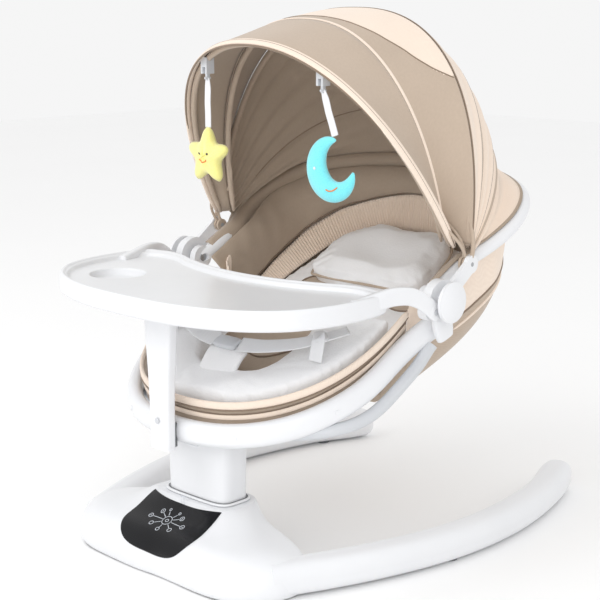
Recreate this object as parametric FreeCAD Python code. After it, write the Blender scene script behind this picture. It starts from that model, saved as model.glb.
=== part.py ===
"""Electric baby swing: a horseshoe base with a drive column carries a swinging seat.

Millimetres, +Z up, the baby faces -Y and the left-hand parts are on +X.
The origin is at floor level, at the centre of the whole swing's plan box.
Every sub-part is one function that returns a closed solid or a group of separate solids.
"""
import FreeCAD, Part
import math
import os

V = FreeCAD.Vector

# ---------------------------------------------------------------- driving dimensions
ORIGIN_Y = 27.5              # the plan box's centre, measured from the drawing datum
X_AXIS = V(1, 0, 0)
Y_AXIS = V(0, 1, 0)
Z_AXIS = V(0, 0, 1)
GAP = 0.4                    # clearance between parts that move past each other

# base
FOOT_HEIGHT = 2.0
LEG_HALF_WIDTH = 23.0
LEG_HALF_HEIGHT = 23.0
LEG_LINE = [(168, -232), (228, -82), (256, 62), (246, 215), (201, 357)]
HOUSING_WALL = 3.5
HOUSING_TOP = 84.0
COLUMN_Y = -179.5
COLUMN_HALF = (59.0, 28.0)
COLUMN_WALL = 3.0

# swing drive
SWING_TILT = math.radians(10)
SWING_POINT = V(0, -172, 162)
SWING_AXIS = V(0, math.sin(SWING_TILT), math.cos(SWING_TILT))
SHAFT_R = 7.0
BUSH_R = 12.0
BUSH_LENGTH = 10.0
CARRIER_R = 15.0
RUNNING_FIT = 0.05

# seat ring and cradle
RING_HALF_WIDTH = 204.0
RING_LENGTH = 224.0
RING_CENTRE_Y = -10.0
RING_POWER = 2.3
RING_SECTION = (11.0, 16.0)
CRADLE_R = 8.5

# hinges
HINGE_Y, HINGE_Z = 12.0, 357.0
HINGE_INNER_X, HINGE_OUTER_X = 232.5, 246.0
HINGE_R = 28.0
PIN_R = 6.0
BUTTON_R = 27.0
BUTTON_X = 258.2
BUTTON_TRAVEL = 3.0
TRAY_EYE_X = 254.2
NECK_END_X = 252.6
TRAY_PIN_Y, TRAY_PIN_Z = -12.0, 347.0

# backrest
RECLINE_ANGLE = math.radians(28)
BACK_LENGTH = 298.0
BACK_TUBE_R = 10.0

# canopy, in bow planes through one axis: angle above forward, half-width, height, roundness
CANOPY_Y, CANOPY_Z = 68.0, 398.0
FRONT_BOW = (60.5, 229.0, 333.0, 2.2)
MID_BOW = (78.5, 208.0, 321.0, 2.35)
REAR_BOW = (97.5, 244.0, 331.0, 2.45)
BOW_R = 4.0
BOW_INSET = 7.5
FRONT_EYE_X, MID_EYE_X = 239.9, 234.0
CLOTH = 2.5

# tray
TRAY_BOTTOM, TRAY_TOP = 353.0, 380.0
TRAY_RIM = 12.0
CUP_R = 38.0
CUP_CENTRE = (-150.0, -205.0)
POST_Y = -257.0
POST_BOTTOM = 166.0

# toys
STAR_X, MOON_X = -100.0, 113.0
HOOK_DROP = 14.0
RIBBON_WIDTH = 11.0
RIBBON_LENGTH = 72.0


# ---------------------------------------------------------------- shape helpers
def positive(shape):
    """A lofted solid with its faces turned outward."""
    solid = shape.Solids[0]
    if solid.Volume < 0:
        solid.reverse()
    return solid


def spline_wire(points):
    """A smooth closed wire through the points."""
    curve = Part.BSplineCurve()
    curve.interpolate(Points=points, PeriodicFlag=True)
    return Part.Wire([curve.toShape()])


def spline_edge(points):
    """A smooth open edge through the points."""
    curve = Part.BSplineCurve()
    curve.interpolate(Points=points)
    return curve.toShape()


def smooth_points(points, count):
    """Points evenly spread along a smooth curve through a few control places."""
    return spline_edge([V(*p) for p in points]).discretize(count)


def power_cos_sin(angle, power):
    """Cosine and sine raised so that the circle becomes a superellipse."""
    c = math.cos(angle)
    s = math.sin(angle)
    return (math.copysign(abs(c) ** (2 / power), c), math.copysign(abs(s) ** (2 / power), s))


def section(centre, along, up, half_width, half_height, power=2.0, count=16):
    """An oval wire square to a direction, with its height towards up."""
    side = along.cross(up).normalize()
    top = side.cross(along).normalize()
    points = []
    for i in range(count):
        c, s = power_cos_sin(2 * math.pi * i / count, power)
        points.append(centre + side * (half_width * c) + top * (half_height * s))
    return spline_wire(points)


def bar(path, half_width, half_height, up=Z_AXIS, power=2.0, scales=None):
    """A solid bar of oval section along a path, with its section scaled place by place."""
    wires = []
    last = len(path) - 1
    for i, centre in enumerate(path):
        along = (path[min(i + 1, last)] - path[max(i - 1, 0)]).normalize()
        k = scales[i] if scales else 1.0
        wires.append(section(centre, along, up, half_width * k, half_height * k, power))
    return positive(Part.makeLoft(wires, True, False))


def mirrored(shape):
    """The same part on the other side of the swing."""
    return shape.mirror(V(0, 0, 0), X_AXIS)


def both(shape):
    """A left part and its mirror image, as one group of separate solids."""
    return Part.makeCompound([shape, mirrored(shape)])


def cylinder_x(radius, x0, x1, y, z):
    return Part.makeCylinder(radius, x1 - x0, V(x0, y, z), X_AXIS)


def box(low, high):
    return Part.makeBox(high[0] - low[0], high[1] - low[1], high[2] - low[2], V(*low))


def yz_slab(y0, y1, lower, upper, half_width, steps=10):
    """A solid across the swing between two curves of height against y."""
    ys = [y0 + (y1 - y0) * i / steps for i in range(steps + 1)]
    bottom = [V(-half_width, y, lower(y)) for y in ys]
    top = [V(-half_width, y, upper(y)) for y in reversed(ys)]
    outline = Part.makePolygon(bottom + top + [bottom[0]])
    return Part.Face(outline).extrude(V(2 * half_width, 0, 0))


def prism(half_outline, z0, z1):
    """An upright prism from half an outline, given from front to back on +X."""
    other = [(-x, y) for x, y in reversed(half_outline) if x > 0]
    wire = spline_wire([V(x, y, z0) for x, y in half_outline + other])
    return positive(Part.Face(wire).extrude(V(0, 0, z1 - z0)))


def back_point(x, u, w):
    """A place on the backrest: u along its incline from the hinge, w square to it."""
    c, s = math.cos(RECLINE_ANGLE), math.sin(RECLINE_ANGLE)
    return V(x, HINGE_Y + u * c - w * s, HINGE_Z + u * s + w * c)


def back_box(x_half, u0, u1, w0, w1):
    """A slab that lies in the backrest's incline."""
    corners = [back_point(-x_half, u, w) for u, w in ((u0, w0), (u1, w0), (u1, w1), (u0, w1))]
    return Part.Face(Part.makePolygon(corners + [corners[0]])).extrude(V(2 * x_half, 0, 0))


def on_swing_axis(distance):
    return SWING_POINT + SWING_AXIS * distance


def swing_cylinder(radius, start, end):
    return Part.makeCylinder(radius, end - start, on_swing_axis(start), SWING_AXIS)


# ---------------------------------------------------------------- base
HOUSING_LEVELS = [
    (2, [(0, -287), (90, -287), (146, -277), (190, -222), (186, -186), (110, -158), (0, -150)]),
    (24, [(0, -290), (92, -290), (150, -280), (196, -222), (190, -182), (110, -154), (0, -146)]),
    (44, [(0, -284), (86, -283), (140, -272), (186, -220), (182, -186), (104, -156), (0, -147)]),
    (60, [(0, -262), (74, -260), (112, -250), (140, -216), (134, -184), (84, -154), (0, -147)]),
    (74, [(0, -234), (62, -232), (84, -224), (98, -204), (94, -178), (72, -152), (0, -146)]),
    (84, [(0, -217), (52, -216), (70, -208), (75, -192), (74, -172), (62, -150), (0, -145)]),
]
HOUSING_CENTRE = (0, -205)


def inset(half_outline, distance):
    """Half an outline drawn in towards the housing's centre."""
    out = []
    for x, y in half_outline:
        dx, dy = HOUSING_CENTRE[0] - x, HOUSING_CENTRE[1] - y
        length = math.hypot(dx, dy)
        out.append((x + dx * distance / length, y + dy * distance / length))
    return out


def housing_body(wall=0.0):
    """The housing's outer form, or the form that its wall leaves inside."""
    wires = []
    for z, half in HOUSING_LEVELS:
        points = inset(half, wall) if wall else half
        other = [(-x, y) for x, y in reversed(points) if x > 0]
        wires.append(spline_wire([V(x, y, z - wall) for x, y in points + other]))
    return positive(Part.makeLoft(wires, True, False))


def base_housing():
    shell = housing_body().cut(housing_body(HOUSING_WALL))
    shaft_way = box((-46, -200, HOUSING_TOP - 12), (46, -160, HOUSING_TOP + 1))
    return shell.cut(shaft_way).cut(inlet_barrel())


def base_cover():
    low = FOOT_HEIGHT
    half = inset(HOUSING_LEVELS[0][1], HOUSING_WALL + 1.0)
    return prism(half, low, low + 2.5)


def leg_left():
    path = smooth_points([(x, y, FOOT_HEIGHT + LEG_HALF_HEIGHT) for x, y in LEG_LINE], 9)
    end = path[-1]
    way = (path[-1] - path[-2]).normalize()
    path += [end + way * d for d in (8, 14, 18, 20)]
    scales = [1.0] * 9 + [0.95, 0.84, 0.66, 0.4]
    leg = bar(path, LEG_HALF_WIDTH, LEG_HALF_HEIGHT, power=2.5, scales=scales)
    return leg.cut(housing_body())


def feet():
    """Rubber pads under both legs and the housing."""
    leg = leg_left()
    pads = []
    for x, y in ((251, 30), (226, 290)):
        pad = Part.makeCylinder(11, 8, V(x, y, 0)).cut(leg)
        pads += [pad, mirrored(pad)]
    for x in (-120, 120):
        pads.append(Part.makeCylinder(13, FOOT_HEIGHT, V(x, -250, 0)))
    return Part.makeCompound(pads)


def cover_screws():
    """Screw heads that hold the bottom cover, set up into it."""
    heads = [Part.makeCylinder(3.5, 1.4, V(x, y, 0.6)) for x in (-70, 70) for y in (-262, -170)]
    return Part.makeCompound(heads)


# the panel's outline, drawn square to a slope of 45 degrees: (x, distance up the slope)
PANEL_TOP = [(-66, -94), (-50, -98.5), (-26, -102), (0, -102.5), (26, -102), (50, -98.5), (66, -94)]
PANEL_SIDE = [(66, -94), (68, -109), (68.5, -127), (68, -148), (61, -165), (51, -175), (36, -180.5),
              (0, -182.3)]
SLOPE_UP = V(0, math.sqrt(0.5), math.sqrt(0.5))
SLOPE_OUT = V(0, -math.sqrt(0.5), math.sqrt(0.5))
PANEL_RISE = 1.2


def panel_prism():
    """The panel's outline drawn out from the slope: a hollow top edge and one round side."""
    side = PANEL_SIDE + [(-x, up) for x, up in reversed(PANEL_SIDE[:-1])]
    start = SLOPE_OUT * 180
    edges = []
    for line in (PANEL_TOP, side):
        edges.append(spline_edge([V(x, 0, 0) + SLOPE_UP * up + start for x, up in line]))
    return positive(Part.Face(Part.Wire(edges)).extrude(SLOPE_OUT * 80))


def touch_panel():
    """A thin glossy plate that lies on the housing's front slope."""
    body = housing_body()
    raised = body.copy()
    raised.translate(SLOPE_OUT * PANEL_RISE)
    plate = raised.common(panel_prism()).cut(body)
    return positive(plate)


def control_board():
    return box((-50, -262, 12), (50, -212, 13.6))


def speaker():
    cone = Part.makeCone(18, 8, 12, V(-105, -225, 6))
    return cone


def inlet_barrel():
    return Part.makeCylinder(6.5, 20, V(60, -168, 18), Y_AXIS)


def power_inlet():
    """The barrel socket at the back of the housing."""
    bore = Part.makeCylinder(3.0, 20, V(60, -164, 18), Y_AXIS)
    pin = Part.makeCylinder(1.0, 15, V(60, -164.5, 18), Y_AXIS)
    return inlet_barrel().cut(bore).fuse(pin)


def column_form(wall=0.0):
    half_x, half_y = COLUMN_HALF
    wires = []
    for z, k in ((HOUSING_TOP + 0.2, 0.965), (130, 0.98), (200, 1.02)):
        centre = V(0, COLUMN_Y, z - wall)
        sizes = (half_x * k - wall, half_y * k - wall)
        wires.append(section(centre, Z_AXIS, Y_AXIS, sizes[0], sizes[1], 4.5, 24))
    return positive(Part.makeLoft(wires, True, False))


def below_swing_plane(offset):
    """Everything below the tilted plane at the column's top."""
    block = Part.makeBox(300, 300, 300, V(-150, -150, -300))
    block.rotate(V(0, 0, 0), X_AXIS, -math.degrees(SWING_TILT))
    block.translate(on_swing_axis(offset))
    return block


def column():
    outer = column_form().common(below_swing_plane(0))
    inner = column_form(COLUMN_WALL).common(below_swing_plane(-4))
    return outer.cut(inner).cut(swing_cylinder(CARRIER_R, -60, 5))


def bearing_carrier():
    tube = swing_cylinder(CARRIER_R, -58, -1).cut(swing_cylinder(BUSH_R, -60, 1))
    return tube


def bush(start):
    ring = swing_cylinder(BUSH_R, start, start + BUSH_LENGTH)
    return ring.cut(swing_cylinder(SHAFT_R + RUNNING_FIT, start - 1, start + BUSH_LENGTH + 1))


COIL_PLACE = V(34, -184, 66)


def drive_coil():
    outer = Part.makeCylinder(11, 12, COIL_PLACE)
    return outer.cut(Part.makeCylinder(4, 14, COIL_PLACE - V(0, 0, 1)))


def coil_stand():
    """The post on the bottom cover that holds the coil under the magnet."""
    height = COIL_PLACE.z - FOOT_HEIGHT - 2.5
    return Part.makeCylinder(8, height, V(COIL_PLACE.x, COIL_PLACE.y, FOOT_HEIGHT + 2.5))


# ---------------------------------------------------------------- swinging seat: frame
def swing_shaft():
    return swing_cylinder(SHAFT_R, -76, 16)


def magnet_lever():
    """The lever on the shaft's foot that the coil pushes and pulls."""
    hub = swing_cylinder(11.5, -74, -64)
    arm = Part.makeBox(34, 10, 6, V(0, -5, -3))
    arm.rotate(V(0, 0, 0), X_AXIS, -math.degrees(SWING_TILT))
    arm.translate(on_swing_axis(-69))
    return hub.fuse(arm).cut(swing_shaft()).cut(drive_magnet())


def drive_magnet():
    return swing_cylinder(6, -78, -66).translated(V(34, 0, 0))


def ring_z(y):
    """The height of the seat ring's middle line."""
    d = y + 240.0
    return 187.0 + 0.25 * d + 0.0009 * d * d


def ring_outline(half_width, length, steps):
    """Half the ring's plan, from its front to its widest place, as (x, y)."""
    out = []
    for i in range(steps + 1):
        c, s = power_cos_sin(0.5 * math.pi * i / steps, RING_POWER)
        out.append((half_width * s, RING_CENTRE_Y - length * c))
    return out


def ring_path():
    half = ring_outline(RING_HALF_WIDTH, RING_LENGTH, 6) + [(213, 16), (222, 36)]
    other = [(-x, y) for x, y in reversed(half) if x > 0]
    points = other + half
    return smooth_points([(x, y, ring_z(y)) for x, y in points], 27)


def seat_ring():
    return bar(ring_path(), *RING_SECTION, power=2.4)


def ring_clearance():
    return bar(ring_path(), RING_SECTION[0] + GAP, RING_SECTION[1] + GAP, power=2.4)


def swing_head():
    """The block on the shaft that carries the ring and the cradle tube."""
    block = bar([on_swing_axis(1.2), on_swing_axis(9), on_swing_axis(17)], 54, 25,
                up=Y_AXIS, power=4.5)
    saddle = box((-42, -236, 172), (42, -185, 180))
    head = block.fuse(saddle).cut(seat_ring()).cut(swing_shaft())
    return max(head.Solids, key=lambda s: s.Volume)


def cradle_half():
    route = [(30, -176, 180), (110, -172, 190), (176, -140, 199), (205, -84, 214),
             (213, -40, 241), (217, -6, 266), (221, 20, 293)]
    return bar(smooth_points(route, 14), CRADLE_R, CRADLE_R, power=2.0)


def cradle_tube_left():
    tube = cradle_half().cut(swing_head()).cut(seat_ring()).cut(hinge_housing_left())
    return max(tube.Solids, key=lambda s: s.Volume)


def hinge_housing_left():
    """The side hinge: disc, tray boss, canopy arm and the foot that holds the ring's end."""
    disc = cylinder_x(HINGE_R, HINGE_INNER_X, HINGE_OUTER_X, HINGE_Y, HINGE_Z)
    boss = cylinder_x(12, HINGE_INNER_X, HINGE_OUTER_X, TRAY_PIN_Y, TRAY_PIN_Z)
    neck = cylinder_x(13, HINGE_OUTER_X - 1, NECK_END_X, HINGE_Y, HINGE_Z)
    foot = bar([V(237.7, 28, 304), V(237.7, 24, 316), V(237.7, 18, 336), V(237.7, 14, 354)], 6.2, 17,
               up=Y_AXIS, power=3.0, scales=[0.82, 1.0, 1.0, 1.0])
    reach = math.hypot(CANOPY_Y - HINGE_Y, CANOPY_Z - HINGE_Z)
    arm = Part.makeBox(6, reach, 20, V(243, 0, -10))
    arm.rotate(V(0, 0, 0), X_AXIS, math.degrees(math.atan2(CANOPY_Z - HINGE_Z, CANOPY_Y - HINGE_Y)))
    arm.translate(V(0, HINGE_Y, HINGE_Z))
    eye = cylinder_x(12, 243, 249, CANOPY_Y, CANOPY_Z)
    body = disc.fuse([boss, neck, foot, arm, eye])
    body = body.cut(cylinder_x(PIN_R, 200, HINGE_OUTER_X - 3, HINGE_Y, HINGE_Z))
    body = body.cut(cylinder_x(4, HINGE_OUTER_X - 8, 260, TRAY_PIN_Y, TRAY_PIN_Z))
    body = body.cut(cylinder_x(3, 230, 260, CANOPY_Y, CANOPY_Z))
    body = body.cut(cylinder_x(6, HINGE_OUTER_X - 1, 260, HINGE_Y, HINGE_Z))
    return body.cut(seat_ring())


def hinge_pin_left():
    return cylinder_x(PIN_R, 214, HINGE_OUTER_X - 3, HINGE_Y, HINGE_Z)


def tray_pin_left():
    return cylinder_x(4, HINGE_OUTER_X - 8, TRAY_EYE_X, TRAY_PIN_Y, TRAY_PIN_Z)


def canopy_pin_left():
    return cylinder_x(3, 231.5, 249, CANOPY_Y, CANOPY_Z)


def button_spring_left():
    """A small coil spring as its outer sleeve, behind the recline button."""
    sleeve = cylinder_x(5.4, HINGE_OUTER_X - 0.8, BUTTON_X - BUTTON_TRAVEL - 1, HINGE_Y, HINGE_Z)
    return sleeve.cut(cylinder_x(4.4, 240, 260, HINGE_Y, HINGE_Z))


def recline_button_left():
    """The round domed cap outside the hinge that releases the recline."""
    start = V(BUTTON_X, HINGE_Y, HINGE_Z)
    rim = Part.makeCylinder(BUTTON_R, 4, start, X_AXIS)
    dome_radius = 60.0
    centre = start + X_AXIS * (10 - dome_radius)
    dome = Part.makeSphere(dome_radius, centre).common(
        Part.makeCylinder(BUTTON_R, 20, start, X_AXIS))
    return positive(rim.fuse(dome).removeSplitter())


# ---------------------------------------------------------------- swinging seat: soft parts
def sling_form(margin, low, high, back_y):
    """The space inside the ring, drawn in by a margin and cut to a band of heights."""
    half = ring_outline(RING_HALF_WIDTH - margin, RING_LENGTH - margin, 8)
    front = [V(x, y, 0) for x, y in half]
    other = [V(-p.x, p.y, 0) for p in reversed(front) if p.x > 0]
    curve = spline_edge(other + front)
    x_end = front[-1].x
    back = Part.makePolygon([V(x_end, RING_CENTRE_Y, 0), V(x_end, back_y, 0),
                             V(-x_end, back_y, 0), V(-x_end, RING_CENTRE_Y, 0)])
    wire = Part.Wire([curve] + back.Edges)
    column_of_air = Part.Face(wire).extrude(V(0, 0, 500))
    slab = yz_slab(-260, back_y + 5, lambda y: ring_z(y) + low, lambda y: ring_z(y) + high, 260)
    return positive(column_of_air.common(slab))


def seat_sling():
    """The fabric tub hung inside the ring, with its wall above the ring."""
    return sling_form(14, -6, 30, -6).cut(sling_form(18, -2, 34, 20))


def seat_pad():
    return sling_form(30, -1, 16, -14)


def crotch_strap():
    return box((-24, -150, 237), (24, -144, 268))


def buckle():
    return box((-21, -142, 246), (21, -130, 266))


def waist_strap_left():
    strap = bar([V(24, -136, 257), V(90, -108, 268), V(150, -60, 290)], 9, 1.0, power=3)
    return strap


# ---------------------------------------------------------------- backrest
BACK_RIM = [(220, 0), (221, 78), (236, 125), (240, 185), (216, 238), (160, 272), (78, 292)]


def backrest_path():
    """The rim tube's middle line, which narrows to the head end."""
    right = [(-x, u) for x, u in reversed(BACK_RIM)]
    places = BACK_RIM + [(0, BACK_LENGTH)] + right
    return smooth_points([tuple(back_point(x, u, 0)) for x, u in places], 31)


def backrest_tube():
    """The U-shaped rim tube with a flat eye round each hinge pin."""
    rim = bar(backrest_path(), BACK_TUBE_R, BACK_TUBE_R)
    eye = cylinder_x(17, 215, 226, HINGE_Y, HINGE_Z)
    hole = cylinder_x(PIN_R + RUNNING_FIT, 200, 250, HINGE_Y, HINGE_Z)
    body = rim.fuse([eye, mirrored(eye)])
    return body.cut(hole).cut(mirrored(hole))


def pod_wire(half_width, u_front, u_back, w):
    """One level of the cloth pod: square at the seat end and round at the head end."""
    span = u_back - u_front
    corner = 0.16 * span
    places = [(0, u_front), (0.55, u_front), (0.84, u_front + 0.2 * corner)]
    places += [(0.91, u_front + corner), (1.0, u_front + 0.5 * span), (0.94, u_front + 0.72 * span)]
    places += [(0.66, u_front + 0.91 * span), (0.33, u_front + 0.985 * span), (0, u_back)]
    half = [(half_width * k, u) for k, u in places]
    other = [(-x, u) for x, u in reversed(half) if x > 0]
    points = [back_point(x, u, w) for x, u in half + other]
    return spline_wire(points)


def pod_form(wall):
    """The pod's outer form, or what its cloth leaves inside."""
    levels = [(222, 6, 284, -13), (212, -26, 262, -70), (188, -66, 226, -125), (168, -78, 202, -141)]
    top = 20 if wall else 0
    wires = []
    for i, (half_width, u_front, u_back, w) in enumerate(levels):
        w_level = w + (top if i == 0 else wall)
        wires.append(pod_wire(half_width - wall, u_front + wall, u_back - wall, w_level))
    return positive(Part.makeLoft(wires, True, False))


def backrest_pod():
    """The cloth tub under the back, open on top and at the seat."""
    pod = pod_form(0).cut(pod_form(4))
    pod = pod.cut(back_box(172, -60, 20, -95, 20))
    clear = [ring_clearance(), cylinder_x(HINGE_R + 8, 205, 260, HINGE_Y, HINGE_Z)]
    clear.append(mirrored(clear[1]))
    for shape in clear:
        pod = pod.cut(shape)
    return max(pod.Solids, key=lambda s: s.Volume)


def back_prism(half, w0, w1):
    """A pad in the backrest's incline from half an outline, (x, u) from seat end to head end."""
    places = [(0, half[0][1])] + half
    places += [(-x, u) for x, u in reversed(half) if x > 0]
    wire = spline_wire([back_point(x, u, w0) for x, u in places])
    return positive(Part.Face(wire).extrude(back_point(0, 0, w1) - back_point(0, 0, w0)))


def back_pad():
    half = [(120, 26), (146, 40), (150, 98), (138, 150), (126, 184), (106, 206), (76, 220), (0, 226)]
    return back_prism(half, -112, -98)


def head_pillow():
    half = [(84, 92), (104, 100), (106, 146), (96, 190), (70, 214), (0, 218)]
    return back_prism(half, -97, -64)


# lines of the lining, from its seat end to the head end: (x, u, w)
LINING_TOP = [(198, 44, -5), (201, 98, -5), (212, 140, -5), (216, 180, -5), (185, 227, -5), (139, 255, -5),
              (63, 271, -5), (0, 277, -5)]
LINING_MIDDLE = [(184, 44, -26), (186, 98, -26), (190, 140, -26), (188, 180, -24), (160, 214, -20),
                 (122, 233, -16), (58, 252, -13), (0, 259, -12)]
LINING_SEAM = [(181, 44, -74), (185, 98, -72), (185, 140, -71), (177, 179, -66), (153, 207, -58),
               (125, 225, -50), (59, 246, -38), (0, 255, -32)]
LINING_FOOT = [(162, 44, -94), (162, 98, -95), (152, 150, -95), (140, 186, -94), (120, 210, -93),
               (92, 224, -91), (50, 231, -89), (0, 233, -88)]


def lining_shell(lines, thickness):
    """A skin between lines on the backrest: one thin section after another around the head end."""
    sections = []
    for station in zip(*lines):
        outer = [back_point(x, u, w) for x, u, w in station]
        inner = []
        for x, u, w in station:
            inwards = thickness * max(0, u - 150) / 130
            inner.append(back_point(x * (1 - thickness / 200), u - inwards, w + thickness * 0.3))
        sections.append(outer + inner[::-1])
    sections += [[V(-p.x, p.y, p.z) for p in points] for points in reversed(sections[:-1])]
    wires = [Part.makePolygon(points + points[:1]) for points in sections]
    return positive(Part.makeLoft(wires, True, False))


def rim_lining():
    """The padded lining from the rim tube down to the ribbed band."""
    return lining_shell([LINING_TOP, LINING_MIDDLE, LINING_SEAM], 4.0)


def ribbed_band():
    """The pleated band that slopes from the lining to the back pad."""
    top = [(x * 0.985, u, w - 3.0) for x, u, w in LINING_SEAM]
    return lining_shell([top, LINING_FOOT], 4.0)


# ---------------------------------------------------------------- canopy
def bow_points(bow, shrink, start_r, count=20, angle=None):
    """Places along a bow, from the left pivot over the top to the right one."""
    degrees, half_width, height, power = bow
    tilt = math.radians(degrees if angle is None else angle)
    half_width -= shrink
    height -= shrink
    first = math.asin((start_r / height) ** (power / 2))
    out = []
    for i in range(count + 1):
        t = first + (math.pi - 2 * first) * i / count
        c, s = power_cos_sin(t, power)
        rise = height * s
        out.append(V(half_width * c, CANOPY_Y - rise * math.cos(tilt),
                     CANOPY_Z + rise * math.sin(tilt)))
    return out


def bow(which, end_x, gauge=BOW_R):
    """A bow tube whose ends step out to flat eyes on the canopy pin."""
    degrees = which[0]
    tilt = math.radians(degrees)
    out = V(0, -math.cos(tilt), math.sin(tilt))
    pivot = V(end_x, CANOPY_Y, CANOPY_Z)
    middle = bow_points(which, BOW_INSET, 70, 18)
    first = [pivot + out * d for d in (8, 30)]
    last = [V(-p.x, p.y, p.z) for p in reversed(first)]
    path = spline_edge(first + middle + last).discretize(33)
    return bar(path, gauge, gauge, up=V(0.0, math.sin(tilt), math.cos(tilt)))


def moving_bow(which, end_x):
    tube = bow(which, end_x, BOW_R - 1.9)
    eye = cylinder_x(9, end_x - 2, end_x + 2, CANOPY_Y, CANOPY_Z)
    hole = cylinder_x(3 + RUNNING_FIT, 200, 300, CANOPY_Y, CANOPY_Z)
    body = tube.fuse([eye, mirrored(eye)])
    return body.cut(hole).cut(mirrored(hole))


def rear_bow():
    tube = bow(REAR_BOW, 246, 3.0)
    return tube.cut(hinge_housing_left()).cut(mirrored(hinge_housing_left()))


def panel(first, last, start_angle, end_angle, start_r=84.0):
    """A cloth panel between two bows, as one curved sheet of even thickness."""
    wires = []
    for i in range(3):
        k = i / 2
        shape = tuple(a + (b - a) * k for a, b in zip(first, last))
        angle = start_angle + (end_angle - start_angle) * k
        outer = bow_points(shape, 0, start_r, 16, angle)
        inner = bow_points(shape, CLOTH, start_r, 16, angle)
        inner.reverse()
        edges = [spline_edge(outer), Part.makeLine(outer[-1], inner[0]), spline_edge(inner),
                 Part.makeLine(inner[-1], outer[0])]
        wires.append(Part.Wire(edges))
    return positive(Part.makeLoft(wires, True, False))


def canopy_front_panel():
    return panel(FRONT_BOW, MID_BOW, FRONT_BOW[0] - 0.6, MID_BOW[0] - 0.4)


def canopy_top_panel():
    return panel(MID_BOW, REAR_BOW, MID_BOW[0] + 0.4, REAR_BOW[0] - 0.4)


def canopy_back_drape():
    end = (146, 234, 240, 2.3)
    return panel(REAR_BOW, end, REAR_BOW[0] + 0.4, 146)


# ---------------------------------------------------------------- toys
def hook_place(x):
    """Where a toy hangs: a little below the front bow's middle line."""
    degrees, half_width, height, power = FRONT_BOW
    c = (abs(x) / (half_width - BOW_INSET)) ** (power / 2)
    rise = (height - BOW_INSET) * math.sqrt(1 - c * c) ** (2 / power)
    tilt = math.radians(degrees)
    return V(x, CANOPY_Y - rise * math.cos(tilt), CANOPY_Z + rise * math.sin(tilt) - HOOK_DROP)


STAR_HOOK = hook_place(STAR_X)
MOON_HOOK = hook_place(MOON_X)


def toy_clip(hook):
    """The plastic clip that grips the front bow above a toy."""
    top = hook.z + HOOK_DROP + 3.4
    body = box((hook.x - 6, hook.y - 7, hook.z - 5), (hook.x + 6, hook.y + 7, top))
    body = body.cut(moving_bow(FRONT_BOW, FRONT_EYE_X)).cut(canopy_front_panel())
    body = max(body.Solids, key=lambda s: s.Volume)
    slot = box((hook.x - 2.6, hook.y - 12, hook.z - 8), (hook.x + 2.6, hook.y + 12, hook.z + 4))
    return body.cut(slot).cut(cylinder_x(1.6, hook.x - 20, hook.x + 20, hook.y, hook.z))


def toy_hanger(hook):
    """The little link that turns in the clip and carries the ribbon."""
    pin = cylinder_x(1.5, hook.x - 6, hook.x + 6, hook.y, hook.z)
    link = box((hook.x - 2, hook.y - 2.5, hook.z - 14), (hook.x + 2, hook.y + 2.5, hook.z + 2.5))
    pivot = Part.makeCylinder(1.5, 10, V(hook.x, hook.y - 5, hook.z - 11), Y_AXIS)
    return pin.fuse([link, pivot])


def toy_ribbon(hook):
    """A flat ribbon with two eyes round the hanger's lower pin."""
    top = hook.z - 11
    strip = box((hook.x - RIBBON_WIDTH / 2, hook.y - 4.6, top - RIBBON_LENGTH),
                (hook.x + RIBBON_WIDTH / 2, hook.y + 4.6, top - 5))
    ears = Part.makeCylinder(4, 9.2, V(hook.x, hook.y - 4.6, top), Y_AXIS)
    neck = box((hook.x - 4, hook.y - 4.6, top - 6), (hook.x + 4, hook.y + 4.6, top))
    slot = box((hook.x - 8, hook.y - 3.1, top - RIBBON_LENGTH + 4), (hook.x + 8, hook.y + 3.1, top + 8))
    hole = Part.makeCylinder(1.6, 20, V(hook.x, hook.y - 10, top), Y_AXIS)
    return strip.fuse([ears, neck]).cut(slot).cut(hole)


def star_toy():
    """A soft five-point star."""
    top = STAR_HOOK.z - 11 - RIBBON_LENGTH
    outer, inner, thick = 42.0, 23.0, 24.0
    centre = V(STAR_HOOK.x, STAR_HOOK.y, top - outer)
    points = []
    for i in range(10):
        radius = outer if i % 2 == 0 else inner
        angle = math.pi / 2 + math.pi * i / 5
        points.append(centre + V(radius * math.cos(angle), -thick / 2, radius * math.sin(angle)))
    return Part.Face(Part.makePolygon(points + [points[0]])).extrude(V(0, thick, 0))


def moon_toy():
    """A soft crescent moon."""
    top = MOON_HOOK.z - 11 - RIBBON_LENGTH
    radius, bite, thick = 42.0, 34.0, 22.0
    centre = V(MOON_HOOK.x - 8, MOON_HOOK.y - thick / 2, top - radius + 4)
    disc = Part.makeCylinder(radius, thick, centre, Y_AXIS)
    hollow = Part.makeCylinder(bite, thick + 2, centre + V(22, -1, 14), Y_AXIS)
    below = box((centre.x - 60, centre.y - 1, centre.z - 60), (centre.x + 60, centre.y + 40, top - 0.2))
    return disc.cut(hollow).common(below).Solids[0]


# ---------------------------------------------------------------- tray
TRAY_OUTER = [(0, -322), (90, -316), (165, -290), (215, -245), (236, -190), (240, -130), (232, -84)]
TRAY_INNER = [(212, -76), (190, -72), (160, -76), (120, -92), (64, -108), (0, -114)]


def tray_prism(outer, inner, z0, z1):
    half = outer + inner
    return prism(half, z0, z1)


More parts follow.
